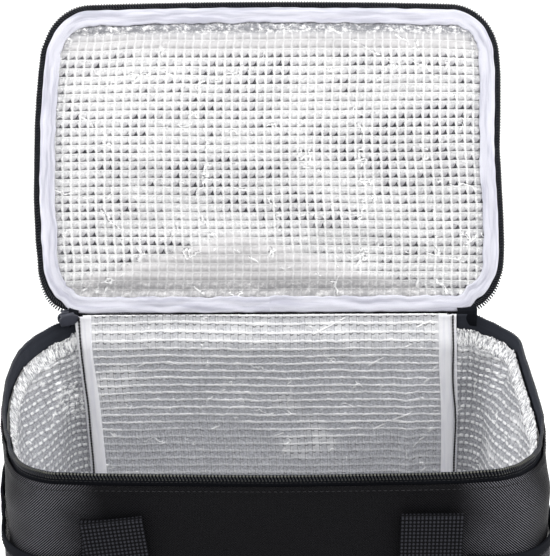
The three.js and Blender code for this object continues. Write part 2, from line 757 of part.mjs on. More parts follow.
const bag = new THREE.Group();
bag.add(
  outerWrap(),
  outerBackPanel(),
  outerBase(),
  wrapFoam(),
  backFoam(),
  baseFoam(),
  liningWrap(),
  liningBack(),
  liningBase(),
  floorBinding(),
  seamBinding("seam_binding_left", -1),
  seamBinding("seam_binding_right", 1),
  bodyZipTape(),
  bodyZipTeeth(),
  zipSlider(),
  zipPull(),
  zipEndTab(),
  hingeStrip(),
  strap("front_strap_left", -1, -1),
  strap("front_strap_right", 1, -1),
  strap("back_strap_left", -1, 1),
  strap("back_strap_right", 1, 1),
  handle("front_handle", -1),
  handle("back_handle", 1),
  pocketPiece("mesh_pocket_left", -1, pocketProfile, MESH_GREY),
  pocketPiece("mesh_pocket_right", 1, pocketProfile, MESH_GREY),
  pocketPiece("pocket_binding_left", -1, pocketBindingProfile, BLACK_WEBBING),
  pocketPiece("pocket_binding_right", 1, pocketBindingProfile, BLACK_WEBBING),
  lid(),
);

export default bag;
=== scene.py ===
# Insulated cooler bag, lid open: cloth, foil, webbing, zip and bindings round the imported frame.
# Metres, +Z up, the front faces -Y and the lid's hinge is at the back.
import json
import math
from functools import partialmethod

import bmesh
import bpy
from mathutils import Matrix, Vector, noise


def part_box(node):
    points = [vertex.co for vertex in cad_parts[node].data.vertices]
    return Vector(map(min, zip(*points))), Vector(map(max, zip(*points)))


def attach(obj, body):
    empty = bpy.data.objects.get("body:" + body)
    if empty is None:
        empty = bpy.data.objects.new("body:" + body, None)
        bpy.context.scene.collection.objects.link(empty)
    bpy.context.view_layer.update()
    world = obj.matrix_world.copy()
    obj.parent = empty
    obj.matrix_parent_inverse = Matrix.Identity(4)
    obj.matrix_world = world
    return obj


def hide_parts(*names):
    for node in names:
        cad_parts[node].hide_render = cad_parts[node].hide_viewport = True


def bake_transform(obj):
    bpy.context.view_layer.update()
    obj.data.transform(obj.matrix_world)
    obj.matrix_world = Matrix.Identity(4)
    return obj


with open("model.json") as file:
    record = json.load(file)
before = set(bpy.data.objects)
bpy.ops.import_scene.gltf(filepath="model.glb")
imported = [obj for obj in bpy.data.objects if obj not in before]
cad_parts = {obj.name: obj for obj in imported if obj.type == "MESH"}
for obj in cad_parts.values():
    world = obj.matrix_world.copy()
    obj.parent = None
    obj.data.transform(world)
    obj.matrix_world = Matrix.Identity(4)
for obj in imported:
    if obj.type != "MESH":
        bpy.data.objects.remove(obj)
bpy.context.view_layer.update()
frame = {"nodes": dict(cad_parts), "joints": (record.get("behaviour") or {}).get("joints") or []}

MM = 0.001
UP = Vector((0, 0, 1))
WRAP_LOW, WRAP_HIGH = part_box("outer_wrap")
HALF_WIDTH = WRAP_HIGH.x
HALF_DEPTH = -WRAP_LOW.y
FOLD_Z = WRAP_HIGH.z
WALL_FOOT = WRAP_LOW.z
JOINT = {joint["name"]: joint for joint in frame["joints"]}
HINGE = Vector(JOINT["lid_hinge"]["pos_m"])
RIM = HINGE.z
LID_OPEN = math.radians(JOINT["lid_hinge"]["range_deg"][1])
CORNER_RADIUS = 30 * MM
BACK_SEAM_X = 110 * MM
ZIP_END_X = 121 * MM
GAP = 0.3 * MM
CELL_WIDE = 4.5 * MM
CELL_TALL = 5.1 * MM
TOOTH_PITCH = 1.73 * MM
RIB_PITCH = 1.5
TURN = 2 * math.pi
LID_CELL = (1.13, 1.01)
LID_FOIL_INSET = 8.2 * MM
LID_FOIL_WIDE = 2 * (HALF_WIDTH - LID_FOIL_INSET) / MM
LID_FOIL_TALL = 2 * (HALF_DEPTH - LID_FOIL_INSET) / MM
# In flat millimetres: painted sheen on the ribs round the front corners of the wrap, slack tent of the lid's
# foil, gather of the walls' foil
PAINTED_SHEEN_LEFT, PAINTED_SHEEN_RIGHT = 214, 452
TENT_TALL, TENT_MIDDLE, TENT_SLOPE = 41, 113, 0.31
GATHER_WAY, GATHER_HIGH = 127, 140
WALL_FOIL_TALL = (FOLD_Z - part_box("lining_wrap")[0].z) / MM


def clamp(x, low=0.0, high=1.0):
    return max(low, min(high, x))


def ease(x):
    x = clamp(x)
    return x * x * (3 - 2 * x)


def mix(a, b, share):
    return a + (b - a) * share


def curve(x, points):
    """Smooth line through (place, value) pairs, level beyond its ends."""
    if x <= points[0][0]:
        return points[0][1]
    for (x0, y0), (x1, y1) in zip(points, points[1:]):
        if x <= x1:
            return mix(y0, y1, ease((x - x0) / (x1 - x0)) * 0.5 + (x - x0) / (x1 - x0) * 0.5)
    return points[-1][1]


def ripple(x, y, z=0.0, size=0.02):
    """Smooth noise from about -1 to 1, whose waves are about size long."""
    return noise.noise(Vector((x, y, z)) / size)


def crumple(u, v, seed, size=0.03):
    """Creased noise of crumpled foil, about -0.8 to 0.8."""
    p = Vector((u / size, v / size, seed))
    folded = 1 - 2 * abs(noise.noise(p))
    return 0.6 * folded * folded - 0.3 + 0.5 * noise.noise(p * 2.3 + Vector((7, 1, 3)))


# Camera and studio ---------------------------------------------------------
CAMERA_PLACE = (-0.0096, -0.7814, 0.4294 + RIM)
CAMERA_PITCH, CAMERA_YAW = math.radians(24.95), math.radians(0.66)
CAMERA_LENS = 104.5
SENSOR_WIDTH = 36
LAMPS_MEET = Vector((0, 0, 0.15))
LAMPS = (  # name, place, size in metres, watts
    ("left side", (-1.8, 0.25, 0.9), 0.7, 26),
    ("right side", (1.8, 0.25, 0.9), 0.7, 20),
    ("high left", (-1.2, -0.7, 1.6), 1.0, 10),
    ("high right", (1.3, -0.7, 1.5), 1.0, 15),
    ("front", (-0.1, -1.2, 1.8), 1.3, 15),
    ("back", (0.2, 1.9, 1.0), 1.2, 12),
)
SKY_LIGHT = 0.3
MIRRORED_SKY = 0.6
FLOOR_GLOW = 0.45
WHITE = (1, 1, 1, 1)


def put(name, data):
    """New object of the scene."""
    made = bpy.data.objects.new(name, data)
    bpy.context.scene.collection.objects.link(made)
    return made


def aim(thing, ahead):
    thing.rotation_euler = ahead.to_track_quat("-Z", "Y").to_euler()


def place_camera():
    data = bpy.data.cameras.new("camera")
    data.lens = CAMERA_LENS
    data.sensor_width = SENSOR_WIDTH
    data.clip_end = 20
    camera = put("camera", data)
    camera.location = CAMERA_PLACE
    ahead = Vector((math.sin(CAMERA_YAW), math.cos(CAMERA_YAW), 0)) * math.cos(CAMERA_PITCH)
    aim(camera, ahead - UP * math.sin(CAMERA_PITCH))
    bpy.context.scene.camera = camera


def light_studio():
    """White backdrop, dimmer as a light and in mirrors, and the lamps."""
    world = bpy.data.worlds.new("studio")
    bpy.context.scene.world = world
    world.use_nodes = True
    world.node_tree.nodes.clear()
    g = Graph(world.node_tree)
    seen = g.node("ShaderNodeBackground", None, {"Color": WHITE, "Strength": 1.0})
    lit = g.node("ShaderNodeBackground", None, {"Color": WHITE, "Strength": SKY_LIGHT})
    share = g.node("ShaderNodeLightPath", output="Is Glossy Ray") * MIRRORED_SKY
    share = share + g.node("ShaderNodeLightPath", output="Is Camera Ray")
    pick = g.node("ShaderNodeMixShader", None, {0: share, 1: lit, 2: seen})
    g.link(pick, g.tree.nodes.new("ShaderNodeOutputWorld").inputs[0])
    for name, place, size, watts in LAMPS:
        data = bpy.data.lights.new(name, "AREA")
        data.energy = watts
        data.size = size
        lamp = put(name, data)
        lamp.location = place
        aim(lamp, LAMPS_MEET - Vector(place))


def lay_floor():
    bpy.ops.mesh.primitive_plane_add(size=30)
    floor = bpy.context.object
    floor.name = "floor"
    uniform = {"Base_Color": (0.86, 0.86, 0.86, 1), "Emission_Color": WHITE, "Specular_IOR_Level": 0.1}
    f = Finish("floor", Roughness=0.95, **uniform)
    f.set("Emission Strength", f.node("ShaderNodeLightPath", output="Is Camera Ray") * FLOOR_GLOW)
    floor.data.materials.append(f.material)


# Materials -----------------------------------------------------------------
class Part:
    """A node's socket that takes part in sums."""

    def __init__(self, graph, socket):
        self.graph = graph
        self.socket = socket

    def sum(self, operation, *values):
        return self.graph.node("ShaderNodeMath", {"operation": operation}, dict(enumerate([self, *values])))

    __add__ = __radd__ = partialmethod(sum, "ADD")
    __mul__ = __rmul__ = partialmethod(sum, "MULTIPLY")
    __sub__ = partialmethod(sum, "SUBTRACT")
    __truediv__ = partialmethod(sum, "DIVIDE")
    wrapped = partialmethod(sum, "FRACT")
    whole = partialmethod(sum, "FLOOR")
    size = partialmethod(sum, "ABSOLUTE")
    least = partialmethod(sum, "MINIMUM")
    most = partialmethod(sum, "MAXIMUM")
    wave = partialmethod(sum, "SINE")

    def __rsub__(self, other):
        return self.graph.node("ShaderNodeMath", {"operation": "SUBTRACT"}, {0: other, 1: self})

    def between(self, low, high):
        """0 at low, 1 at high, smooth between them; low may be above high."""
        if low > high:
            return 1 - self.between(high, low)
        inputs = {"Value": self, "From Min": low, "From Max": high}
        return self.graph.node("ShaderNodeMapRange", {"interpolation_type": "SMOOTHSTEP"}, inputs)

    def near(self, middle, off, on):
        """1 within on of the middle, falling to 0 at off from it."""
        return (self - middle).size().between(off, on)


class Graph:
    """A node tree whose nodes are made whole, with their settings and inputs."""

    def __init__(self, tree):
        self.tree = tree

    def node(self, kind, settings=None, inputs=None, output=0):
        made = self.tree.nodes.new(kind)
        for key, value in (settings or {}).items():
            setattr(made, key, value)
        for key, value in (inputs or {}).items():
            self.link(value, made.inputs[key])
        return Part(self, made.outputs[output])

    def link(self, value, socket):
        if isinstance(value, Part):
            self.tree.links.new(value.socket, socket)
        else:
            socket.default_value = value


class Finish(Graph):
    """A material under the name of its finish."""

    def __init__(self, name, **uniform):
        self.material = bpy.data.materials.new(name)
        self.material.use_nodes = True
        super().__init__(self.material.node_tree)
        self.shader = self.tree.nodes["Principled BSDF"]
        for socket, value in uniform.items():
            self.set(socket.replace("_", " "), value)

    def flat(self):
        """Place on the flat sheet in millimetres, as two numbers."""
        place = self.node("ShaderNodeUVMap", {"uv_map": "flat"})
        across = self.node("ShaderNodeSeparateXYZ", None, {0: place})
        return across, Part(self, across.socket.node.outputs[1])

    def point(self, x, y, z=0.0):
        return self.node("ShaderNodeCombineXYZ", None, {0: x, 1: y, 2: z})

    def speckle(self, place, scale, detail=2.0, roughness=0.5):
        """Noise at a place, which may be given as two or three numbers."""
        place = self.point(*place) if isinstance(place, tuple) else place
        inputs = {"Vector": place, "Scale": scale, "Detail": detail, "Roughness": roughness}
        return self.node("ShaderNodeTexNoise", None, inputs, "Fac")

    def blend(self, share, a, b):
        return self.node("ShaderNodeMix", {"data_type": "RGBA"}, {0: share, 6: a, 7: b}, 2)

    def painted(self, share, shades, *coats):
        """The two shades blended, under coats of (share, colour), and set as the colour."""
        colour = self.blend(share, rgb(shades[0]), rgb(shades[1]))
        for share, coat in coats:
            colour = self.blend(share, colour, rgb(coat))
        self.set("Base Color", colour)

    def set(self, socket, value):
        self.link(value, self.shader.inputs[socket])

    def relief(self, height, distance, strength=1.0):
        inputs = {"Height": height, "Distance": distance, "Strength": strength}
        self.set("Normal", self.node("ShaderNodeBump", None, inputs, "Normal"))


def rgb(text):
    """Linear colour of a #rrggbb shade."""
    parts = [int(text[i : i + 2], 16) / 255 for i in (1, 3, 5)]
    return (*[c / 12.92 if c <= 0.04045 else ((c + 0.055) / 1.055) ** 2.4 for c in parts], 1.0)


def cells(f, grow=(1, 1)):
    """Share of the way across and up each embossed cell, and a number of each cell's own."""
    u, v = f.flat()
    across, up = u / (CELL_WIDE * grow[0] / MM), v / (CELL_TALL * grow[1] / MM)
    across = across + (up.wrapped() * math.pi).wave() * 0.07
    number = {"Vector": f.point(across.whole(), up.whole())}
    own = f.node("ShaderNodeTexWhiteNoise", {"noise_dimensions": "2D"}, number)
    return u, v, across.wrapped(), up.wrapped(), own


def creases(f, u, v, size, width, broken):
    """Straight creases, drawn as the borders of uneven patches and left out in places."""
    stray = f.speckle((u, v, size), 0.14)
    place = f.point(u * 0.7 + stray * (size * 0.5), v - stray * (size * 0.4))
    settings = {"voronoi_dimensions": "2D", "feature": "DISTANCE_TO_EDGE"}
    border = f.node("ShaderNodeTexVoronoi", settings, {"Vector": place, "Scale": 1 / size}, "Distance")
    kept = f.speckle((u, v, size + 5), 0.1).between(broken, broken + 0.07)
    return border.between(width / size, 0.0) * kept


def foil_lid_finish():
    """Foil that faces the viewer: raised lines with painted highlights, a painted dark reflection at each
    cell's foot, smooth grey zones.
    """
    f = Finish("foil lid lining", Metallic=0.25, Roughness=0.4)
    u, v, fu, fv, own = cells(f, LID_CELL)
    other = (own * 7.3).wrapped()
    fine = f.speckle((u, v, 9.0), 0.75, 3.0, 0.7)
    bands = f.speckle((u * 0.3 + v * 0.12, v, 40.0), 0.042)
    patch = f.speckle((u * 0.8, v, 3.0), 0.05)
    tent = TENT_TALL - (u - TENT_MIDDLE).size() * TENT_SLOPE - v + (patch - 0.5) * 14
    top = v - (LID_FOIL_TALL - 21) + (patch - 0.5) * 10
    plain = tent.between(-1.5, 3.5).most(top.between(-5.0, 5.0))
    marked = 1 - plain * 0.86
    strong = (bands.between(0.40, 0.58) * 0.8 + patch.between(0.46, 0.62) * 0.5).least(1.0) * marked

    # Grey in the lower middle of each cell is painted shade on the cushion's downward-facing side.
    middle = fu.near(0.45, 0.42, 0.2) * fv.between(1.0, 0.5)
    side = fu.near(0.96, 0.12, 0.06).most(fu.between(0.09, 0.04))
    # The raised lines' white is a painted highlight of light from above.
    line = side.most(fv.near(0.05, 0.11, 0.05)) * (1 - plain * 0.5) * fine.between(0.22, 0.5)

    climb = ((fu - 0.08) / (own * 0.1 + 0.56)).most(0.0)
    drop = ((0.86 - fu) / 0.14).most(0.0).least(1.0)
    high = (climb * climb * climb).least(1.0) * drop
    high = high * (other * 0.3 + 0.16) * (0.45 + strong * 0.75) + 0.075
    # The dark sail at each cell's foot, the thin ropes and the specks are painted reflections of dark
    # surroundings.
    reflection_sail = (fv - 0.13 - high).between(0.045, -0.045) * fv.between(0.08, 0.14)
    reflection_sail = reflection_sail * fu.between(0.06, 0.14) * fu.between(0.88, 0.80)
    rope = (fu - (fv - 0.4) * 0.1).near(0.72, 0.065, 0.02) * fv.between(0.95, 0.35) * fv.between(0.1, 0.2)
    rope = rope * (own * 3.7).wrapped().between(0.15, 0.8) * (0.25 + strong * 0.75) * marked
    painted_reflection = reflection_sail * (0.72 + strong * 0.4) * (0.7 + other * 0.35) * fine.between(0.76, 0.5) * marked
    speck = fine.between(0.62, 0.70) * strong * 0.75
    painted_reflection = painted_reflection.most(rope * 0.75).most(speck).least(1.0)

    edge = u.least(LID_FOIL_WIDE - u).least(v).least(LID_FOIL_TALL - v)
    crushed = f.speckle((u * 0.7, v, 17.0), 0.5, 4.0, 0.75)
    # Near the crushed edge the foil's crumples get painted shade and painted highlights.
    rim = edge.between(12.5, 8.5) * (v.between(LID_FOIL_TALL - 22, LID_FOIL_TALL - 10) * 0.65 + 0.35)
    # White creases are painted highlights; the dark stroke beside each one is a painted shadow.
    thin = creases(f, u, v, 34.0, 0.9, 0.5)
    crease_shadow = creases(f, u + 0.9, v - 0.9, 34.0, 0.8, 0.5) * fine.between(0.45, 0.6)
    f.painted(
        fine.between(0.34, 0.66) * 0.75,
        ("#dedede", "#adadaf"),
        (middle * (0.2 + strong * 0.75) * (0.5 + 0.5 * other), "#9c9a9f"),
        (plain * (0.45 + 0.7 * fine), "#bdbbbc"),
        (top.between(2.0, 16.0) * 0.5, "#a3a4aa"),
        (line, "#e9e9e9"),
        (painted_reflection, "#2a2a30"),
        (rim * crushed.between(0.46, 0.54), "#7e7f84"),
        (rim * crushed.between(0.44, 0.36), "#ffffff"),
        (thin, "#ffffff"),
        (crease_shadow * 0.85, "#4c4d52"),
    )
    f.relief(line * 0.4 + fine * 0.35 + thin * 0.6 - painted_reflection * 0.2, 0.7 * MM, 0.5)
    return f.material


def foil_wall_finish(name, shades, ridge_half, dash_share, column, grid_below, gathered):
    """Foil on the upright walls: level ridges with painted white highlights, whole or in dashes, over
    mottled grey cells.
    """
    f = Finish(name, Metallic=0.18, Roughness=0.34)
    u, v, fu, fv, own = cells(f)
    other = (own * 7.3).wrapped()
    broad = f.speckle((u * 0.55, v, 3.0), 0.03)
    fine = f.speckle((u, v, 9.0), 0.8, 3.0, 0.72)
    wander = f.speckle((u * 0.6, v, 14.0), 0.22) - 0.5
    high = v.between(WALL_FOIL_TALL - 24, WALL_FOIL_TALL - 6)
    lit = broad.between(0.57, 0.66).most(high * 0.8)
    flat_grid = (v + (broad - 0.5) * 60).between(grid_below + 5, grid_below - 5)
    crossed = (column + flat_grid * 0.6 + lit * 0.9).least(1.0)
    from_side = (fu - 0.5).size() * 2
    scallop = (1 - from_side * from_side) * 0.1
    rise = fv - 0.5 + wander * 0.4 - scallop
    node = from_side.between(0.6, 1.0) * own * 0.07
    level = (rise.size() - node).between(ridge_half, ridge_half * 0.45) * (1 - flat_grid * 0.6)
    # The white dashes on the ridges are painted highlights of light from above.
    ridge_highlight = level * from_side.between(dash_share + 0.25, dash_share - 0.1) * (0.6 + 0.4 * other)
    # Dark spots under the ridges where the columns cross are painted shade.
    notch_shade = rise.near(-0.19, 0.12, 0.03) * from_side.between(0.3, 0.8)
    thin = creases(f, u, v, 26.0, 0.8, 0.52)
    crushed = f.speckle((u * 0.8, v, 17.0), 0.5, 4.0, 0.75)
    gather = u.near(GATHER_WAY, 16, 6) * v.near(GATHER_HIGH, 20, 8)
    gather = gather.most(high * 0.7) * gathered
    f.painted(
        fine.between(0.34, 0.66),
        shades,
        (lit * (0.2 + own * 0.6), "#f4f4f5"),
        # Beside each column: a painted shade line, and a thin white painted highlight.
        (fu.near(0.16, 0.1, 0.03) * crossed * 0.45, "#74757b"),
        (fu.near(0.02, 0.09, 0.03) * crossed * 0.9, "#f2f2f4"),
        (notch_shade * (0.2 + own * 0.5 + lit * 0.5).least(1.0), "#47484e"),
        (ridge_highlight, "#ffffff"),
        # White creases and white crumple tops are painted highlights; the dark parts of the crumples are
        # painted shade.
        (thin, "#ffffff"),
        (gather * crushed.between(0.50, 0.60), "#ffffff"),
        (gather * crushed.between(0.42, 0.35) * 0.8, "#55565c"),
    )
    f.relief(ridge_highlight * 0.5 + fine * 0.45 + thin * 0.6 + gather * crushed, 0.8 * MM, 0.7)
    return f.material


def foil_edge_finish():
    """Raw, crushed upper edge of the foil: bright upright creases, with painted shade in the small gaps
    between them.
    """
    f = Finish("foil raw edge", Metallic=0.25, Roughness=0.4)
    u, v = f.flat()
    fray = f.speckle((u, v * 0.3), 0.8, 3.0, 0.75)
    cloud = f.speckle((u, v, 5.0), 0.12, 3.0)
    # The dark colour in the low gaps between creases is painted shade.
    coats = (fray.between(0.34, 0.28), "#45464b"), (cloud.between(0.5, 0.3) * 0.4, "#c9cacd")
    f.painted(fray.between(0.40, 0.56), ("#8b8c91", "#ffffff"), *coats)
    f.relief(fray, 1.2 * MM, 0.9)
    return f.material


def cloth_finish():
    """Black cloth of the outside, woven on both slants, with a painted sheen on its ribs round the front
    corners.
    """
    f = Finish("black woven polyester", Roughness=0.45, Specular_IOR_Level=0.08)
    u, v = f.flat()
    rising = ((u - v) * (TURN / RIB_PITCH)).wave() * 0.5 + 0.5
    falling = ((u + v) * (TURN / RIB_PITCH)).wave() * 0.5 + 0.5
    fuzz = f.speckle((u, v), 2.4)
    cloud = f.speckle((u, v, 2.0), 0.03, 3.0)
    stray = (cloud - 0.5) * 30
    # Ribs round the front corners get a painted sheen: a pale colour that stands in for side light catching
    # them.
    line = rising.between(0.68, 0.98) * (u + stray).near(PAINTED_SHEEN_LEFT, 30, 2)
    line = line + falling.between(0.68, 0.98) * (u + stray).near(PAINTED_SHEEN_RIGHT, 34, 2)
    share = (rising * falling).between(0.1, 0.9) * (0.4 + fuzz * 0.6) * (0.5 + cloud * 0.6)
    painted_sheen = (line * (0.35 + fuzz)).least(1.0)
    f.painted(share.least(1.0), ("#070709", "#17171d"), (painted_sheen, "#83838b"))
    f.relief(rising * 0.5 + falling * 0.5 + fuzz * 0.2, 0.5 * MM)
    return f.material


def webbing_finish():
    """Webbing: level rows of light knots in columns, on black."""
    f = Finish("black webbing", Roughness=0.6, Specular_IOR_Level=0.05)
    u, v = f.flat()
    column, row = u / 2.0, v / 2.2
    across = column.wrapped() * 2 - 1
    up = row.wrapped() * 2 - 1
    knot = (across * across + up * up).between(0.75, 0.1)
    slip = ((column + row) * TURN).wave() * 0.5 + 0.5
    share = knot * (0.35 + f.speckle((u, v), 2.0) * 0.8) + slip * 0.05
    f.painted(share.least(1.0), ("#060608", "#3b3c42"))
    f.relief(knot + slip * 0.2, 0.4 * MM, 0.8)
    return f.material


def tape_finish(name, shades, pitch, sideways=False, streak=0.45, shine=0.1):
    """Tape with a fine slanting weave, and soft stripes of painted shade where it was folded along its
    length.
    """
    f = Finish(name, Roughness=0.8, Specular_IOR_Level=shine)
    u, v = f.flat()
    along, across = (v, u) if sideways else (u, v)
    weave = ((along + across) * (TURN / pitch)).wave() * ((along - across) * (TURN / pitch)).wave()
    # Stripes along the tape are painted shade of its folds, and raised a little in the relief.
    fold_shade_stripe = f.speckle((along * 0.045, across * 0.55, 3.0), 0.8)
    fuzz = f.speckle((u, v), 2.2)
    share = (weave * 0.5 + 0.5) * 0.35 + fold_shade_stripe.between(0.3, 0.6) * streak + fuzz * 0.35
    f.painted(share.least(1.0), shades)
    f.relief(weave * 0.6 + fold_shade_stripe * (streak * 3) + fuzz * 0.3, 0.12 * MM, 0.9)
    return f.material


def plain_finish(name, shades, rough, metal=0.0, grain_scale=900.0, depth=0.05):
    """Moulded or painted surface with a fine grain and a little unevenness."""
    f = Finish(name, Roughness=rough, Metallic=metal)
    place = f.node("ShaderNodeTexCoord", output="Object")
    f.painted(f.speckle(place, 120.0, 3.0), shades)
    f.relief(f.speckle(place, grain_scale), depth * MM, 0.5)
    return f.material


def knit_finish():
    """Fine pocket mesh: small round holes in a dark knit."""
    f = Finish("pocket mesh", Roughness=0.8, Specular_IOR_Level=0.2)
    u, v = f.flat()
    row = v / 1.1
    a = ((u / 1.3 + row.whole() * 0.5).wrapped() - 0.5) * 2
    b = (row.wrapped() - 0.5) * 2
    hole = (a * a + b * b).between(0.42, 0.24)
    f.painted(f.speckle((u, v), 2.0), ("#232326", "#48484d"))
    f.set("Alpha", 1 - hole * 0.9)
    f.relief(1 - hole, 0.3 * MM, 0.7)
    return f.material


FOIL_LID = foil_lid_finish()
# The walls' and floor's foil has darker shades than the back's: painted shade.
FOIL_WALL_SHADED = foil_wall_finish(
    "foil wall lining", ("#828388", "#bebfc4"),
    ridge_half=0.22, dash_share=0.6, column=0.3, grid_below=-20, gathered=1.0,
)
FOIL_BACK = foil_wall_finish(
    "foil back lining", ("#a9aaaf", "#dadbe0"),
    ridge_half=0.17, dash_share=1.2, column=0.04, grid_below=112, gathered=0.15,
)
FOIL_EDGE = foil_edge_finish()
BLACK_CLOTH = cloth_finish()
WEBBING = webbing_finish()
TAPE_CLOTH = tape_finish("black zip tape", ("#0d0e11", "#1e2026"), 1.1, streak=0.15, shine=0.04)
TAPE_INNER = tape_finish("inner side of the zip tape", ("#25272d", "#41444c"), 1.1, streak=0.12, shine=0.05)
WHITE_TAPE = tape_finish("white binding tape", ("#acacbd", "#ededf6"), 1.0)
WHITE_SEAM = tape_finish("white seam tape", ("#dedee8", "#ffffff"), 1.3, True, streak=0.3)
POCKET_KNIT = knit_finish()
COIL = plain_finish("zip coil", ("#15171c", "#272930"), 0.4)
# Lighter copies of the coil: painted highlights for the teeth that face the front.
COIL_HIGHLIGHT = plain_finish("zip coil painted highlight", ("#3d3e38", "#65665d"), 0.4)
COIL_DIM_HIGHLIGHT = plain_finish("zip coil dim painted highlight", ("#2c2d2c", "#45463f"), 0.4)
SLIDER = plain_finish("slider paint", ("#34363f", "#3f414c"), 0.45, 0.1)
FOAM = plain_finish("closed foam", ("#dcdcda", "#ececea"), 0.9, 0.0, 500.0, 0.3)
THREAD_BLACK = plain_finish("black thread", ("#08080a", "#17171c"), 0.8, 0.0, 2500.0)
THREAD_WHITE = plain_finish("white thread", ("#c9c9d4", "#e4e4ee"), 0.7, 0.0, 2500.0)


# The plan of the bag ---------------------------------------------------------
HALF_STRAIGHT = HALF_WIDTH - CORNER_RADIUS
SIDE_STRAIGHT = 2 * (HALF_DEPTH - CORNER_RADIUS)
ARC = math.pi / 2 * CORNER_RADIUS
PLAN_LENGTH = 4 * HALF_STRAIGHT + 2 * SIDE_STRAIGHT + 4 * ARC
FRONT_MIDDLE = PLAN_LENGTH / 2
STRETCHES = [
    (HALF_STRAIGHT, (0, HALF_DEPTH), 180, False),
    (ARC, (-HALF_STRAIGHT, HALF_DEPTH - CORNER_RADIUS), 180, True),
    (SIDE_STRAIGHT, (-HALF_WIDTH, HALF_DEPTH - CORNER_RADIUS), 270, False),
    (ARC, (-HALF_STRAIGHT, CORNER_RADIUS - HALF_DEPTH), 270, True),
    (2 * HALF_STRAIGHT, (-HALF_STRAIGHT, -HALF_DEPTH), 0, False),
    (ARC, (HALF_STRAIGHT, CORNER_RADIUS - HALF_DEPTH), 0, True),
    (SIDE_STRAIGHT, (HALF_WIDTH, CORNER_RADIUS - HALF_DEPTH), 90, False),
    (ARC, (HALF_STRAIGHT, HALF_DEPTH - CORNER_RADIUS), 90, True),
    (HALF_STRAIGHT, (HALF_STRAIGHT, HALF_DEPTH), 180, False),
]

# How far the open mouth stands out, and how far it droops, along the plan from the hinge on each side
BULGE_LEFT = (
    (114, 0), (128, 2.4), (140, 3.6), (152, 4.2), (160, 6.3), (169, 8.5), (186, 9.8), (208, 10.1),
    (225, 8.9), (246, 6.4), (262, 3.4), (276, 0.6), (292, -0.8), (350, -1.0), (444, -0.4),
)
BULGE_RIGHT = (
    (114, 0), (128, 1.8), (138, 2.8), (160, 4.2), (181, 3.4), (221, 2.8), (236, 2.4), (255, 1.8),
    (270, 0.9), (290, 0.2), (330, -0.6), (350, -0.8), (444, -0.4),
)
DROOP_LEFT = ((120, 0), (131, 3.6), (141, 5.4), (160, 4.7), (186, 3.1), (208, 1.9), (232, 0.9), (255, 0))
DROOP_RIGHT = (
    (120, 0), (130, 3.2), (140, 5), (160, 4.6), (181, 3.4), (198, 2.4), (221, 1.3), (249, 0.4), (265, 0),
)
# How far the zipped edge alone leans in, round the front corners
TUCK_LEFT = ((262, 0), (280, 1.6), (295, 4.2), (320, 4.6), (336, 3.2), (352, 2.0), (385, 1.0), (444, 0))
TUCK_RIGHT = (
    (252, 0), (268, 1.8), (282, 4.6), (295, 7.6), (307, 8.4), (323, 6.8), (338, 3.6), (353, 1.6), (385, 0.6),
    (444, 0),
)
# How far the foil's raw edge stays below its line
LOW_LEFT = (
    (108, 1.4), (118, 3.4), (128, 4.2), (160, 4.2), (180, 3.2), (205, 2.2), (240, 1.4), (270, 0.8),
    (444, 0.5),
)
LOW_RIGHT = ((108, 0.6), (116, 2.2), (126, 1.8), (140, 1.0), (170, 1.0), (200, 0.6), (444, 0.5))
# How deep below the rim each of these reaches, and how deep the bulge stays whole
BULGE_LEVEL, BULGE_REACH, DENT_REACH = 25 * MM, 150 * MM, 120 * MM
TUCK_REACH, DROOP_REACH = 26 * MM, 70 * MM


def plan_at(distance, inset=0.0):
    """Place on the plan, drawn in by inset, and the outward direction there."""
    left = distance % PLAN_LENGTH
    for length, start, heading, curved in STRETCHES:
        if left <= length:
            break
        left -= length
    turn = math.radians(heading) + (left / CORNER_RADIUS if curved else 0)
    out = Vector((math.sin(turn), -math.cos(turn), 0))
    along = Vector((math.cos(turn), math.sin(turn), 0))
    on = Vector((*start, 0)) + (out * CORNER_RADIUS if curved else along * left)
    return on - out * inset, out


def back_distance(x):
    """Distance along the plan, from the middle of the back, of a place at x on the back or its corner."""
    past = max(0.0, x - HALF_STRAIGHT)
    return min(x, HALF_STRAIGHT) + math.asin(past / CORNER_RADIUS) * CORNER_RADIUS


def from_hinge(way):
    """Distance along the plan from the middle of the back, the shorter way round."""
    return min(way % PLAN_LENGTH, -way % PLAN_LENGTH)


def by_side(distance, left, right):
    """Value of a side's table at a place on the plan, in metres."""
    table = right if distance % PLAN_LENGTH > FRONT_MIDDLE else left
    return curve(from_hinge(distance) / MM, table) * MM


def on_wall(distance, inset, z):
    """Place on a layer of the wall, with the open mouth's bulge, droop and tucked front corners."""
    depth = max(0.0, RIM - z)
    on, out = plan_at(distance, inset)
    bulge = by_side(distance, BULGE_LEFT, BULGE_RIGHT)
    reach = DENT_REACH if bulge < 0 else BULGE_REACH
    moved = bulge * ease((reach - depth) / (reach - BULGE_LEVEL))
    moved -= by_side(distance, TUCK_LEFT, TUCK_RIGHT) * ease(1 - depth / TUCK_REACH)
    place = on + out * moved
    place.z = z - by_side(distance, DROOP_LEFT, DROOP_RIGHT) * ease(1 - depth / DROOP_REACH)
    return place, out


def about_hinge(turn):
    return Matrix.Translation(HINGE) @ Matrix.Rotation(turn, 4, "X") @ Matrix.Translation(-HINGE)


LID_TURN = about_hinge(-LID_OPEN)
# How far the lid's left and right edges stand from straight, by height above the hinge
LID_LEFT = (
    (0, -5.6), (4, -5.2), (9, -3.6), (14, -2.2), (20, -1.3), (30, -1), (45, -2.4), (70, -3.4), (90, -3.1),
    (113, -2.7), (127, -1.9), (142, -0.7), (156, 0.8), (166, 2.4), (186, 2.2),
)
LID_RIGHT = (
    (0, 0.6), (4, -0.4), (8, -1.8), (18, -2.9), (40, -2), (54, -2.3), (83, -3.5), (98, -4.3), (120, -3.7),
    (142, -3.5), (166, -4.8),
)


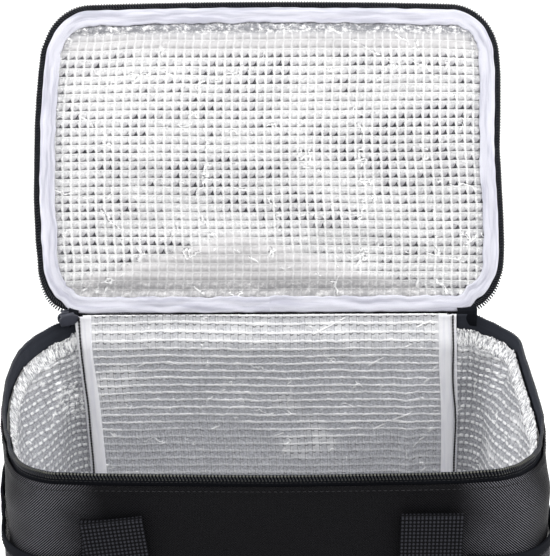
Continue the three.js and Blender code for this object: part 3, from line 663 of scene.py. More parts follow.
def lid_place(x, y, z):
    """Turned-open place of a point of the shut lid, with the real lid's uneven outline."""
    high = (HALF_DEPTH - y) / MM
    share = (x + HALF_WIDTH) / (2 * HALF_WIDTH)
    moved_x = x + mix(curve(high, LID_LEFT), curve(high, LID_RIGHT), share) * MM
    crown = 2.4 * MM * ease((high - 110) / 70) * (1 - (x / (135 * MM)) ** 2)
    return LID_TURN @ Vector((moved_x, y - crown, z))


def inside_plan(x, y, inset):
    """Whether a place lies within the plan, drawn in by inset."""
    dx = max(0.0, abs(x) - HALF_STRAIGHT)
    dy = max(0.0, abs(y) - (HALF_DEPTH - CORNER_RADIUS))
    return math.hypot(dx, dy) <= CORNER_RADIUS - inset


# Making pieces ---------------------------------------------------------------
def on_sheet(co, width, height):
    return (co.x + 0.5) * width, (co.y + 0.5) * height


def sheet(width, height, cols, rows, place, keep=None, marks=None, inward=False, closed=False):
    """Flat sheet of width by height laid out by place(u, v); marks(u, v) moves its pattern.

    An inward one shows its face to the inside, and a closed one is joined where its ends meet.
    """
    bm = bmesh.new()
    bmesh.ops.create_grid(bm, x_segments=cols, y_segments=rows, size=0.5)
    flat = bm.loops.layers.uv.new("flat")
    if keep:
        gone = [f for f in bm.faces if not keep(*on_sheet(f.calc_center_median(), width, height))]
        bmesh.ops.delete(bm, geom=gone, context="FACES")
    for face in bm.faces:
        for loop in face.loops:
            u, v = on_sheet(loop.vert.co, width, height)
            u, v = marks(u, v) if marks else (u, v)
            loop[flat].uv = (u / MM, v / MM)
    for vert in bm.verts:
        vert.co = place(*on_sheet(vert.co, width, height))
    if closed:
        bmesh.ops.remove_doubles(bm, verts=bm.verts, dist=1e-6)
    if inward:
        bmesh.ops.reverse_faces(bm, faces=bm.faces)
    return bm


def piece(name, bm, materials, nodes=(), thickness=0.0, offset=-1.0, bevel=0.0, body="bag_body"):
    """Finished object of a bmesh, riding on its body."""
    for face in bm.faces:
        face.smooth = True
    mesh = bpy.data.meshes.new(name)
    bm.to_mesh(mesh)
    bm.free()
    for material in materials if isinstance(materials, list) else [materials]:
        mesh.materials.append(material)
    made = put(name, mesh)
    if thickness:
        wall = made.modifiers.new("thickness", "SOLIDIFY")
        wall.thickness = thickness
        wall.offset = offset
    if bevel:
        soft = made.modifiers.new("soft edges", "BEVEL")
        soft.width = bevel
        soft.segments = 2
        soft.limit_method = "ANGLE"
    if body:
        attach(made, body)
    if nodes:
        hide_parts(*nodes)
    return made


def frame_at(origin, x, y, z, sizes=(1, 1, 1)):
    m = Matrix((x, y, z)).transposed().to_4x4()
    m.translation = origin
    return m @ Matrix.Diagonal((*sizes, 1))


def bead(bm, shape, finish=0):
    """Ball of diameter 1, drawn out by the matrix."""
    verts = bmesh.ops.create_icosphere(bm, subdivisions=1, radius=0.5)["verts"]
    bmesh.ops.transform(bm, matrix=shape, verts=verts)
    for face in {face for vert in verts for face in vert.link_faces}:
        face.material_index = finish


def stitches(name, path, length, pitch, thread=THREAD_BLACK, body="bag_body", long=0.8, thick=0.55):
    """Row of stitches: path(distance) gives the place and the outward direction of the cloth."""
    bm = bmesh.new()
    count = max(1, round(length / pitch))
    sizes = (pitch * long, thick * MM, thick * MM)
    for i in range(count):
        at = length * (i + 0.5) / count
        origin, out = path(at)
        ahead, _ = path(min(length, at + 0.3 * MM))
        behind, _ = path(max(0.0, at - 0.3 * MM))
        along = (ahead - behind).normalized()
        bead(bm, frame_at(origin, along, out.cross(along).normalized(), out, sizes))
    return piece(name, bm, thread, body=body)


# Cloth -----------------------------------------------------------------------
WRAP_FROM = BACK_SEAM_X + GAP / 2
WRAP_LENGTH = PLAN_LENGTH - 2 * WRAP_FROM
PANEL_LENGTH = 2 * (BACK_SEAM_X - GAP / 2)
WALL_PARTS = (("wrap", WRAP_FROM, WRAP_LENGTH), ("back", -PANEL_LENGTH / 2, PANEL_LENGTH))
CLOTH = 1.0 * MM
FOIL = 0.4 * MM
TAPE = 0.7 * MM
CLOTH_TOP = FOLD_Z + 1.7 * MM
FOAM_TOP, FOAM_INSET, FOAM_THICK = 186 * MM, 1.3 * MM, 2.6 * MM
STITCH = 2.9 * MM


def cloth_place(start):
    tall = CLOTH_TOP - WALL_FOOT

    def place(u, v):
        lip = ease((v - tall + 5 * MM) / (1.5 * MM)) * 0.45 * MM
        lip -= ease((v - tall + 1.0 * MM) / (1.0 * MM)) * 0.4 * MM
        foot = ease(1 - v / (3 * MM)) * -0.9 * MM
        slack = 0.6 * MM * ripple(u, v, 1.0, 0.06) + 0.2 * MM * ripple(u, v, 2.0, 0.014)
        on, out = on_wall(start + u, 0, WALL_FOOT + v)
        return on + out * (lip + foot + slack * ease((tall - v) / (20 * MM)))

    return place


def outer_cloth():
    tall = CLOTH_TOP - WALL_FOOT
    bm = sheet(WRAP_LENGTH, tall, 230, 90, cloth_place(WRAP_FROM))
    wrap = piece("outer_wrap_cloth", bm, BLACK_CLOTH, ["outer_wrap"], CLOTH)
    bm = sheet(PANEL_LENGTH, tall, 80, 90, cloth_place(-PANEL_LENGTH / 2))
    back = piece("outer_back_cloth", bm, BLACK_CLOTH, ["outer_back_panel"], CLOTH)
    for name, start, length in WALL_PARTS:

        def path(at):
            on, out = on_wall(start + at, 0, CLOTH_TOP - 2.6 * MM)
            return on + out * 0.45 * MM, out

        stitches(f"fold_stitches_{name}", path, length, STITCH)


def base_cloth():
    """Bottom panel with its soft rounded edge."""
    low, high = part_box("outer_base")
    bm = plan_plate(0.6 * MM, low.z, high.z, 0.35 * MM)
    piece("base_panel", bm, BLACK_CLOTH, ["outer_base"])


def plan_plate(inset, low, high, round_by, steps=144):
    """Closed plate in the shape of the plan, with bevelled rims."""
    bm = bmesh.new()
    ring = [plan_at(PLAN_LENGTH * i / steps, inset)[0] for i in range(steps)]
    bottom = bm.faces.new([bm.verts.new((on.x, on.y, low)) for on in ring])
    rims = drawn_up(bm, bottom, high - low)
    bmesh.ops.recalc_face_normals(bm, faces=bm.faces)
    bmesh.ops.bevel(bm, geom=rims, offset=round_by, segments=2, profile=0.5, affect="EDGES", material=-1)
    lay_flat(bm)
    return bm


def drawn_up(bm, face, by):
    """Draws a level face up into a closed plate, and gives the edges of its two faces."""
    lifted = bmesh.ops.extrude_face_region(bm, geom=[face])
    top = next(g for g in lifted["geom"] if isinstance(g, bmesh.types.BMFace))
    bmesh.ops.translate(bm, verts=top.verts, vec=(0, 0, by))
    return list(top.edges) + list(face.edges)


def lay_flat(bm):
    """Writes the sheet's place on every corner: x and y, with the height along the sides."""
    flat = bm.loops.layers.uv.get("flat") or bm.loops.layers.uv.new("flat")
    for face in bm.faces:
        for loop in face.loops:
            p = loop.vert.co
            loop[flat].uv = (p.x / MM, (p.y + p.z) / MM)


def foam_layers():
    tall = FOAM_TOP - WALL_FOOT
    for name, start, length in WALL_PARTS:

        def place(u, v):
            return on_wall(start + u, FOAM_INSET, WALL_FOOT + v)[0]

        bm = sheet(length, tall, 90, 24, place)
        made = piece(f"{name}_foam_pad", bm, FOAM, [f"{name}_foam"], FOAM_THICK)
    low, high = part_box("base_foam")
    bm = plan_plate(7.2 * MM, low.z, high.z, 1.2 * MM)
    made = piece("base_foam_pad", bm, FOAM, ["base_foam"])


# Foil ------------------------------------------------------------------------
LINING_INSET = 6.6 * MM
HINGE_LEAN = 20 * MM


def cell_relief(u, v, grow=(1, 1)):
    """Height of the embossing: little cushions between sunk lines, from 0 on a line to 1 in a cell."""
    a = abs((u / (CELL_WIDE * grow[0])) % 1 - 0.5) * 2
    b = abs((v / (CELL_TALL * grow[1])) % 1 - 0.5) * 2
    return (1 - ease((a - 0.45) / 0.55)) * (1 - ease((b - 0.45) / 0.55))


def drift(u, v, seed):
    """Uneven run of the embossed pattern."""
    return (
        u + 1.2 * MM * ripple(u, v, seed, 0.07) + 0.35 * MM * ripple(u, v, seed + 3, 0.018),
        v + 1.4 * MM * ripple(u, v, seed + 9, 0.08) + 0.4 * MM * ripple(u, v, seed + 5, 0.02),
    )


def raw_edge(u):
    """How far the foil's raw upper edge stands above or below its line, in fibres and notches."""
    fibre = abs(noise.noise(Vector((u * 420, 3, 0)))) ** 0.7
    return 3.0 * MM * fibre + 1.0 * MM * noise.noise(Vector((u * 90, 9, 0))) - 1.2 * MM


def loose(way, depth):
    """How far the slack lining stands in from the side walls, below its raw edge."""
    way = from_hinge(way)
    along = ease((way - 118 * MM) / (42 * MM)) * ease((292 * MM - way) / (120 * MM))
    return 9.0 * MM * along * ease((depth - 21 * MM) / (44 * MM)) * ease((184 * MM - depth) / (60 * MM))


def pattern_place(way):
    """Where the embossing runs on the side linings: drawn out along the wall, rising toward the front."""
    near = from_hinge(way)
    drawn_out = 0.5 * min(max(near - 136 * MM, 0), 150 * MM)
    along = way - drawn_out if way < FRONT_MIDDLE else way + drawn_out
    return along, 42 * MM * ease((near - 122 * MM) / (172 * MM))


def foil_walls():
    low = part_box("lining_wrap")[0].z
    tall = FOLD_Z - 8.5 * MM - low

    def marks(u, v):
        along, rise = pattern_place(WRAP_FROM + u)
        return drift(along, v - rise, 2.0)

    def place(u, v):
        edge = ease((v - tall + 12 * MM) / (12 * MM))
        puff = 1.5 * MM * crumple(u, v, 4.0, 0.03) * (0.5 + 0.5 * ease((v / tall - 0.5) / 0.3))
        puff += edge * 0.9 * MM * crumple(u * 1.6, v, 8.0, 0.014)
        aside, above = (WRAP_FROM + u - 126 * MM) / (9 * MM), (v - GATHER_HIGH * MM) / (15 * MM)
        gather = math.exp(-(aside**2) - above**2)
        puff += gather * (1.4 * MM + 1.8 * MM * crumple(u * 1.4, v, 44.0, 0.012))
        lift = 0.5 * MM * cell_relief(*marks(u, v)) + max(-0.6 * MM, puff) + 0.8 * MM
        v -= by_side(WRAP_FROM + u, LOW_LEFT, LOW_RIGHT) * ease((v - tall + 40 * MM) / (40 * MM))
        lift += loose(WRAP_FROM + u, RIM - low - v)
        return on_wall(WRAP_FROM + u, LINING_INSET + lift, low + v)[0]

    cols, rows = 3 * round(WRAP_LENGTH / CELL_WIDE), 3 * round(tall / CELL_TALL)
    bm = sheet(WRAP_LENGTH, tall, cols, rows, place, marks=marks, inward=True)
    made = piece("wall_foil", bm, FOIL_WALL_SHADED, ["lining_wrap"], FOIL)

    band = 10.5 * MM

    def edge_place(u, v):
        share = v / band
        crush = crumple(u * 1.3, v * 0.7, 8.0, 0.007) * 1.5 * MM
        crush += 0.8 * MM * noise.noise(Vector((u * 700, v * 200, 6)))
        lean = mix(LINING_INSET + 1.1 * MM, 4.5 * MM, ease(share))
        lean += max(-0.3 * MM, crush * (0.4 + 0.6 * share))
        rise = v + raw_edge(u) * share - by_side(WRAP_FROM + u, LOW_LEFT, LOW_RIGHT)
        return on_wall(WRAP_FROM + u, lean, low + tall - 1.2 * MM + rise)[0]

    bm = sheet(WRAP_LENGTH, band, round(WRAP_LENGTH / (0.65 * MM)), 12, edge_place, inward=True)
    piece("wall_foil_raw_edge", bm, FOIL_EDGE, (), 0.25 * MM)


def back_slip(depth):
    """How far the loose back lining is drawn toward the left at its top."""
    return 5.5 * MM * ease(1 - depth / (118 * MM))


def hinge_lean(below):
    """Share by which the back lining has come out to the hinge, by its distance below its top."""
    return ease((HINGE_LEAN - below) / HINGE_LEAN)


def back_foil():
    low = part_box("lining_back")[0].z
    tall = RIM - 0.8 * MM - low

    def marks(u, v):
        return drift(u, v, 12.0)

    def place(u, v):
        lean = hinge_lean(tall - v)
        fold = 2.4 * MM * math.exp(-(((u - 26 * MM) / (5 * MM)) ** 2)) * ease((0.9 - v / tall) / 0.3)
        puff = 0.9 * MM * crumple(u, v, 11.0, 0.05) * (1 - lean) + fold
        high = ease((v - tall + 34 * MM) / (24 * MM))
        puff += high * 0.5 * MM * crumple(u * 0.7, v, 18.0, 0.013) * (1 - 0.5 * lean)
        lift = 0.35 * MM * cell_relief(*marks(u, v)) + max(-0.5 * MM, puff) + 0.7 * MM
        z = low + v
        on, _ = plan_at(u - PANEL_LENGTH / 2 + back_slip(RIM - z), mix(LINING_INSET, 0.9 * MM, lean))
        return Vector((on.x, on.y - lift, z))

    cols, rows = 4 * round(PANEL_LENGTH / CELL_WIDE), 4 * round(tall / CELL_TALL)
    bm = sheet(PANEL_LENGTH, tall, cols, rows, place, marks=marks, inward=True)
    made = piece("back_foil", bm, FOIL_BACK, ["lining_back"], FOIL)


def floor_foil():
    low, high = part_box("lining_base")
    width, depth = high.x - low.x, high.y - low.y

    def place(u, v):
        z = high.z + 0.4 * MM * cell_relief(u, v) + 0.8 * MM * max(-0.3, crumple(u, v, 15.0, 0.05))
        return Vector((low.x + u, low.y + v, z))

    def keep(u, v):
        return inside_plan(low.x + u, low.y + v, LINING_INSET)

    bm = sheet(width, depth, 3 * round(width / CELL_WIDE), 3 * round(depth / CELL_TALL), place, keep)
    piece("floor_foil", bm, FOIL_WALL_SHADED, ["lining_base"], 0.5 * MM)


def lid_foil():
    inset = LID_FOIL_INSET
    width, depth = LID_FOIL_WIDE * MM, LID_FOIL_TALL * MM

    def marks(u, v):
        return drift(u, v, 21.0)

    def place(u, v):
        x, y = u - width / 2, HALF_DEPTH - inset - v
        edge = min(HALF_WIDTH - abs(x), HALF_DEPTH - abs(y)) - 11 * MM
        free = ease(edge / (12 * MM))
        broad = ripple(u, v, 5.0, 0.08) + 0.6 * ripple(u * 0.6 + v, v - u * 0.5, 9.0, 0.045)
        tent = TENT_TALL * MM - abs(u - TENT_MIDDLE * MM) * TENT_SLOPE - v
        tent = ease(tent / (7 * MM)) * ease(v / (12 * MM))
        swell = free * (1.2 + 1.3 * broad + 0.9 * crumple(u, v, 21.0, 0.04) + 0.5 * tent)
        crushed = 1 - ease((edge + 2 * MM) / (7 * MM))
        crushed += ease((v - depth + 24 * MM) / (14 * MM)) * free * 0.5
        swell += crushed * 1.1 * crumple(u, v, 33.0, 0.009)
        relief = 0.55 * MM * cell_relief(*marks(u, v), LID_CELL)
        return lid_place(x, y, RIM + 1.7 * MM - max(-0.2, swell) * MM - relief)

    def keep(u, v):
        return inside_plan(u - width / 2, HALF_DEPTH - inset - v, inset)

    cols, rows = 4 * round(width / CELL_WIDE), 4 * round(depth / CELL_TALL)
    bm = sheet(width, depth, cols, rows, place, keep, marks)
    made = piece("lid_foil", bm, FOIL_LID, ["lid_lining"], FOIL, body="lid")
    cut_off = (4 - math.pi) * (CORNER_RADIUS - inset) ** 2
    width * depth - cut_off


# Lid, laid out shut and then turned open ---------------------------------------
def hinge_side(distance):
    """1 along the hinge, falling to 0 past the ends of the zip."""
    return 1 - ease((from_hinge(distance) - 112 * MM) / (16 * MM))


def lid_binding():
    wide = 8.6 * MM

    def place(u, v):
        share = v / wide
        across = math.sin(math.pi * share)
        way = u / PLAN_LENGTH * TURN
        ring = Vector((math.cos(way), math.sin(way), 0))
        wave = 1.1 * MM * noise.noise(ring * 9) + 0.7 * MM * noise.noise(ring * 26)
        outer = 0.5 * MM * noise.noise(ring * 17 + Vector((4, 4, 4)))
        inset = mix(4.3 * MM, 0.1 * MM, hinge_side(u))
        reach = mix(wide, 9.0 * MM, hinge_side(u))
        on, _ = plan_at(u, inset + share * reach + wave * share + outer * (1 - share))
        dome = 0.55 * MM * across**0.5 + 0.3 * MM * noise.noise(ring * 40 + Vector((0, 0, share * 2)))
        dome += 0.4 * MM * across * math.sin(7 * share + 5 * noise.noise(ring * 5))
        return lid_place(on.x, on.y, RIM + 1.1 * MM - dome)

    bm = sheet(PLAN_LENGTH, wide, 420, 14, place, closed=True)
    piece("lid_white_binding", bm, WHITE_TAPE, ["lid_binding"], TAPE, body="lid")

    def path(at):
        on, _ = plan_at(at, mix(11.0 * MM, 8.0 * MM, hinge_side(at)))
        return lid_place(on.x, on.y, RIM + 0.7 * MM), (LID_TURN.to_3x3() @ -UP)

    name = "lid_binding_stitches"
    stitches(name, path, PLAN_LENGTH, 3.2 * MM, THREAD_WHITE, "lid", thick=0.5)


def lid_cover():
    """Padded cloth cover, closed: out from the middle of its underside, up its edge and over the crown."""
    shape = [(0.4, share, 0.0) for share in (0, 0.3, 0.6, 0.85, 1)]
    shape += [(0.4, 1, 4.2), (0.9, 1, 5.3), (1.8, 1, 6.0), (3.4, 1, 6.4), (7.4, 1, 6.9), (15.4, 1, 7.5)]
    shares = (0.9, 0.78, 0.64, 0.5, 0.35, 0.2, 0)
    shape += [(15.4, share, 7.5 + 1.3 * (1 - share * share)) for share in shares]

    def place(u, v):
        inset, share, high = shape[round(v / MM)]
        on, _ = plan_at(u, inset * MM)
        x, y = on.x * share, on.y * share
        soft = 0.7 * ripple(x, y, 3.0, 0.045) * ease((high - 6) / 1.5)
        return Vector((x, y, RIM + (2.65 + high + soft) * MM))

    bm = sheet(PLAN_LENGTH, (len(shape) - 1) * MM, 200, len(shape) - 1, place, closed=True)
    lay_flat(bm)
    for vert in bm.verts:
        vert.co = lid_place(*vert.co)
    bmesh.ops.recalc_face_normals(bm, faces=bm.faces)
    made = piece("lid_cover", bm, BLACK_CLOTH, ["lid_outer", "lid_foam"], body="lid")


ZIP_START = back_distance(ZIP_END_X)
ZIP_LENGTH = PLAN_LENGTH - 2 * ZIP_START


def lid_tape():
    def place(u, v):
        on, _ = plan_at(ZIP_START + u, 1.2 * MM + v)
        return lid_place(on.x, on.y, RIM + 1.7 * MM)

    bm = sheet(ZIP_LENGTH, 6.5 * MM, 260, 4, place)
    piece("lid_tape", bm, TAPE_CLOTH, ["lid_zip_tape"], TAPE, body="lid")


def coil(name, node, body, start, length, stand, fan=0.0):
    """Coil of the zip: a slanting turn, a head and a foot for each tooth; fan spreads those at its ends."""
    count = round(length / TOOTH_PITCH)
    bm = bmesh.new()
    for i in range(count):
        origin, out, normal = stand(start + length * (i + 0.5) / count)
        along = normal.cross(out).normalized()
        lean = (out + along * 0.5).normalized()
        slanted = lean, normal.cross(lean).normalized(), normal
        straight = out, along, normal
        # Heads facing the front get the painted highlight, and their feet and the corner teeth's heads the
        # dimmer painted highlight.
        upright = out.z > 0.99
        head_highlight = 1 if upright and normal.y < -0.97 else 2 if upright and normal.y < -0.4 else 0
        foot = 2 if head_highlight == 1 else 0
        spread = fan * ease(1 - min(i, count - 1 - i) * TOOTH_PITCH / (36 * MM))
        head_sizes = (1.2 + spread * 2.4, 1.15 + spread * 0.1, 2.2)
        for at, axes, sizes, finish in (
            (origin - out * 0.2 * MM, slanted, (3.3, 0.75, 1.6), 0),
            (origin + (out * (1.2 + spread) + along * 0.4) * MM, straight, head_sizes, head_highlight),
            (origin - (out * 1.35 + along * 0.5) * MM, straight, (1.0, 1.0, 1.7), foot),
        ):
            bead(bm, frame_at(at, *axes, [size * MM for size in sizes]), finish)
    piece(name, bm, [COIL, COIL_HIGHLIGHT, COIL_DIM_HIGHLIGHT], [node], body=body)


def zip_coils():
    def on_lid(distance):
        on, out = plan_at(distance, 1.7 * MM)
        level = UP * (RIM + 1.1 * MM)
        origin = lid_place(*(on + level))
        tip = lid_place(*(on + out * MM + level))
        return origin, (tip - origin).normalized(), LID_TURN.to_3x3() @ -UP

    def on_body(distance):
        on, out = on_wall(distance, 1.6 * MM, RIM - 2.5 * MM)
        return on, UP, out

    coil("lid_coil", "lid_zip_teeth", "lid", ZIP_START, ZIP_LENGTH, on_lid, 1.0)
    past = 9.5 * MM
    coil("body_coil", "body_zip_teeth", "bag_body", ZIP_START + past, ZIP_LENGTH - past, on_body)


def body_tape():
    start = ZIP_START - 3 * MM
    length = PLAN_LENGTH - start - BACK_SEAM_X
    low = FOLD_Z - 8 * MM
    tall = RIM - 0.9 * MM - low

    def place(u, v):
        return on_wall(start + u, 1.7 * MM + 0.25 * MM * ripple(u, 0, 5, 0.03), low + v)[0]

    bm = sheet(length, tall, 260, 10, place)
    made = piece("body_tape", bm, [TAPE_CLOTH, TAPE_INNER], ["body_zip_tape"], TAPE)
    made.modifiers["thickness"].material_offset = 1
    made.modifiers["thickness"].material_offset_rim = 1

    def path(at):
        return on_wall(start + at, 1.55 * MM, CLOTH_TOP + 1.3 * MM)

    stitches("tape_stitches", path, length, 2.4 * MM, thick=0.45)


# Hinge and the ends of the zip ---------------------------------------------------
def across_hinge(shut, low, high):
    """Open place of cloth drawn shut: below low it stays on the body, above high it turns with the lid."""
    return about_hinge(-LID_OPEN * ease((shut.z - low) / (high - low))) @ shut


def hinge_cloth():
    """Outer strip along the hinge, from the back panel to the lid's side."""
    half = BACK_SEAM_X + 10 * MM
    low = RIM - 9.5 * MM

    def place(u, v):
        on, _ = plan_at(u - half, -1.25 * MM)
        return across_hinge(on + UP * (low + v), RIM - 1.4 * MM, RIM + 1.6 * MM)

    bm = sheet(2 * half, 15.5 * MM, 90, 30, place, inward=True)
    nodes = ["hinge_strip", "lid_hinge_strip"]
    made = piece("hinge_cloth", bm, BLACK_CLOTH, nodes, TAPE, body=None)
    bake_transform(made)


def tape_ends():
    """Zip tape carried on past the last teeth at each end of the hinge, joining the body to the lid."""
    foot = RIM - 8.5 * MM
    upright = RIM + 1.6 * MM - foot
    for name, start, long, turned, inset, nodes in (
        ("left", BACK_SEAM_X + 8.0 * MM, 6 * MM, 1.5 * MM, 0.4 * MM, ()),
        ("right", PLAN_LENGTH - BACK_SEAM_X - 13 * MM, 12.5 * MM, 4.5 * MM, 1.5 * MM, ["zip_end_tab"]),
    ):

        def place(u, v):
            on, out = plan_at(start + u, inset + max(0.0, v - upright))
            swell = 0.35 * MM * math.sin(math.pi * clamp(v / upright))
            shut = on - out * swell + UP * (foot + min(v, upright))
            return across_hinge(shut, RIM - 1.2 * MM, RIM + 1.2 * MM)

        bm = sheet(long, upright + turned, 16, 26, place, inward=True)
        made = piece(f"tape_end_{name}", bm, TAPE_CLOTH, nodes, 0.8 * MM, 0.0, body=None)
        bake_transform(made)


SLIDER_LONG = 12 * MM
SLIDER_WIDE = 7.4 * MM
SLIDER_FACE = 2.8 * MM
SLIDER_PLATE = 1.3 * MM
SLIDER_UP = 2.4 * MM


def block(bm, place, middle, sizes, round_by):
    """Small moulded block with rounded edges, in the slider's own frame."""
    made = bmesh.ops.create_cube(bm, size=1)
    shape = place @ Matrix.Translation(Vector(middle)) @ Matrix.Diagonal((*sizes, 1))
    bmesh.ops.transform(bm, matrix=shape, verts=made["verts"])
    edges = list({edge for vert in made["verts"] for edge in vert.link_edges})
    bmesh.ops.bevel(bm, geom=edges, offset=round_by, segments=3, profile=0.5, affect="EDGES", material=-1)


def slider_plate(bm, place, low, high):
    """Rounded plate, narrower at its nose, from low to high above the chain."""
    made = bmesh.ops.create_circle(bm, cap_ends=True, segments=40, radius=1)
    face = made["verts"][0].link_faces[0]
    for vert in made["verts"]:
        x, y = (math.copysign(abs(c) ** 0.72, c) for c in vert.co.xy)
        nose = 1 - 0.22 * ease(-x)
        vert.co = (x * SLIDER_LONG / 2, y * SLIDER_WIDE / 2 * nose, low)
    rims = drawn_up(bm, face, high - low)
    bevelled = bmesh.ops.bevel(
        bm, geom=rims, offset=0.5 * MM, segments=3, profile=0.5, affect="EDGES", material=-1
    )
    verts = {vert for face in bevelled["faces"] for vert in face.verts}
    verts |= {vert for v in verts for face in v.link_faces for vert in face.verts}
    bmesh.ops.transform(bm, matrix=place, verts=list(verts))


def slider():
    _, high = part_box("zip_slider")
    distance = back_distance(ZIP_END_X - 2.75 * MM) + SLIDER_LONG / 2 + 0.7 * MM
    on, out = plan_at(distance, 1.7 * MM)
    along = out.cross(UP) * -1
    middle = Vector((on.x, on.y, high.z - SLIDER_WIDE / 2 + SLIDER_UP))
    place = frame_at(middle, along, out.cross(along), out)
    bm = bmesh.new()
    slider_plate(bm, place, SLIDER_FACE - SLIDER_PLATE, SLIDER_FACE)
    slider_plate(bm, place, -SLIDER_FACE, SLIDER_PLATE - SLIDER_FACE)
    gap = 2 * (SLIDER_FACE - SLIDER_PLATE)
    block(bm, place, (-3.6 * MM, 0, 0), (2.4 * MM, 2.4 * MM, gap + 0.6 * MM), 0.5 * MM)
    for way in (-1, 1):
        rail = (0.8 * MM, way * (SLIDER_WIDE / 2 - 0.55 * MM), -SLIDER_FACE / 2 + 0.1 * MM)
        block(bm, place, rail, (8.4 * MM, 1.0 * MM, SLIDER_FACE - 0.4 * MM), 0.3 * MM)
        foot = (way * 2.75 * MM - 1.2 * MM, SLIDER_UP / 2, SLIDER_FACE + 0.9 * MM)
        block(bm, place, foot, (1.5 * MM, 2.2 * MM + SLIDER_UP, 2.4 * MM), 0.3 * MM)
    loop = (-1.2 * MM, SLIDER_UP / 2, SLIDER_FACE + 2.4 * MM)
    block(bm, place, loop, (7.0 * MM, 2.2 * MM + SLIDER_UP, 1.1 * MM), 0.45 * MM)
    bmesh.ops.recalc_face_normals(bm, faces=bm.faces)
    piece("slider", bm, SLIDER, ["zip_slider"])


# Inner seams -------------------------------------------------------------------
def seam_bindings():
    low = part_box("seam_binding_left")[0].z
    tall = RIM - 0.8 * MM - low
    wide = 10.8 * MM
    for name, middle, sway in (("left", BACK_SEAM_X, 1), ("right", -BACK_SEAM_X, -1)):

        def surface(u, v, lift):
            bend = 0.9 * MM * ripple(v, 0.3 * sway, 2.0, 0.05)
            way = middle + back_slip(RIM - low - v) + (u - wide / 2) + bend
            on, out = plan_at(way, mix(7.6 * MM, 1.8 * MM, hinge_lean(tall - v)))
            return on - out * lift + UP * (low + v), out

        def place(u, v):
            lift = 1.1 * MM * math.sin(math.pi * u / wide) ** 0.6
            lift += 0.35 * MM * ripple(u, v, sway, 0.012) + 0.8 * MM
            pinch = 0.5 * MM * math.exp(-(((u - wide / 2) / MM - sway * 3.1) / 0.8) ** 2)
            return surface(u, v, lift - pinch)[0]

        bm = sheet(wide, tall, 20, 100, place, inward=True)
        piece(f"white_seam_{name}", bm, WHITE_SEAM, [f"seam_binding_{name}"], TAPE)

        def path(at):
            u = wide / 2 + sway * (3.0 * MM - 0.9 * MM * ripple(at, 4.0 * sway, 7.0, 0.024))
            on, out = surface(u, at, 2.15 * MM)
            return on, -out

        stitches(f"seam_stitches_{name}", path, tall, 1.9 * MM, long=1.35, thick=1.35)


def floor_binding():
    low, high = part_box("floor_seam_binding")
    tall = high.z - low.z

    def place(u, v):
        on, _ = plan_at(u, 7.7 * MM + 0.6 * MM * math.sin(math.pi * (v / tall)))
        return on + UP * (low.z + v)

    bm = sheet(PLAN_LENGTH, tall, 280, 6, place, inward=True, closed=True)
    piece("floor_binding", bm, WHITE_TAPE, ["floor_seam_binding"], TAPE)


# Webbing -----------------------------------------------------------------------
HANDLE_X = 81 * MM
WEB = 32 * MM
WEB_THICK = 1.6 * MM
FOLD = Vector(JOINT["front_handle_fold"]["pos_m"])
FOLD_LONG = 3.2 * MM
FOLD_ROUND = 0.7 * MM
LEG = 85 * MM
ARCH = 62 * MM
HANDLE_TILT = math.radians(24)
SIDES = (("front", -1), ("back", 1))
# The front webbing is sewn on a little askew: to the left, with its left leg leaning and its loop lower
WEB_ASIDE = -3.3 * MM
WEB_LEAN = 0.12
WEB_DROP = 2.2 * MM
LEAN_FROM, LEAN_OVER = 30 * MM, 110 * MM


def straps():
    for side, facing in SIDES:
        aside = WEB_ASIDE if facing < 0 else 0.0
        for hand, way in (("left", -1), ("right", 1)):
            node = f"{side}_strap_{hand}"
            low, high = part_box(node)

            def place(u, v):
                bow = max(0, 0.25 * MM * ripple(u, v, way + 2 * facing, 0.03))
                y = facing * (HALF_DEPTH + 0.35 * MM) + facing * bow
                return Vector((way * HANDLE_X + aside - facing * (WEB / 2 - u), y, low.z + v))

            bm = sheet(WEB, high.z - low.z, 10, 50, place)
            piece(f"{node}_webbing", bm, WEBBING, [node], 1.1 * MM, 1.0, 0.3 * MM)


def arch_table(steps=40):
    """Length along the loop's arch by angle, from its leg to its lowest point."""
    quarter, length = math.pi / 2, 0.0
    table = [(0.0, 0.0)]
    for i in range(steps):
        a = quarter * (i + 0.5) / steps
        length += math.hypot(HANDLE_X * math.sin(a), ARCH * math.cos(a)) * quarter / steps
        table.append((length, quarter * (i + 1) / steps))
    return table


ARCH_TABLE = arch_table()
LOOP = 2 * (LEG + ARCH_TABLE[-1][0])


def handle_path(at):
    """Centre of the hanging loop, its direction and its outward tilt, from the left fold to the right."""
    right = at > LOOP / 2
    way = LOOP - at if right else at
    if way <= LEG:
        x, z, tilt = -HANDLE_X, FOLD.z - way, 0.0
        along = Vector((0, 0, -1))
    else:
        way -= LEG
        turn = math.pi / 2
        for (d0, a0), (d1, a1) in zip(ARCH_TABLE, ARCH_TABLE[1:]):
            if way <= d1:
                turn = mix(a0, a1, (way - d0) / (d1 - d0))
                break
        x, z = -HANDLE_X * math.cos(turn), FOLD.z - LEG - ARCH * math.sin(turn)
        along = Vector((HANDLE_X * math.sin(turn), 0, -ARCH * math.cos(turn))).normalized()
        tilt = HANDLE_TILT * ease(turn / (math.pi / 2))
    if right:
        x, along = -x, Vector((along.x, 0, -along.z))
    return x, z, along, tilt


def front_lean(way):
    """Slope and sideways shift of the front loop's left leg."""
    past = ease((way - LEAN_FROM) / LEAN_OVER)
    shift = WEB_LEAN * (min(way, LEAN_FROM) + 55 * MM * past) * ease(2.6 - way / (100 * MM))
    return WEB_LEAN * ease(1 - (way - LEAN_FROM) / LEAN_OVER), shift


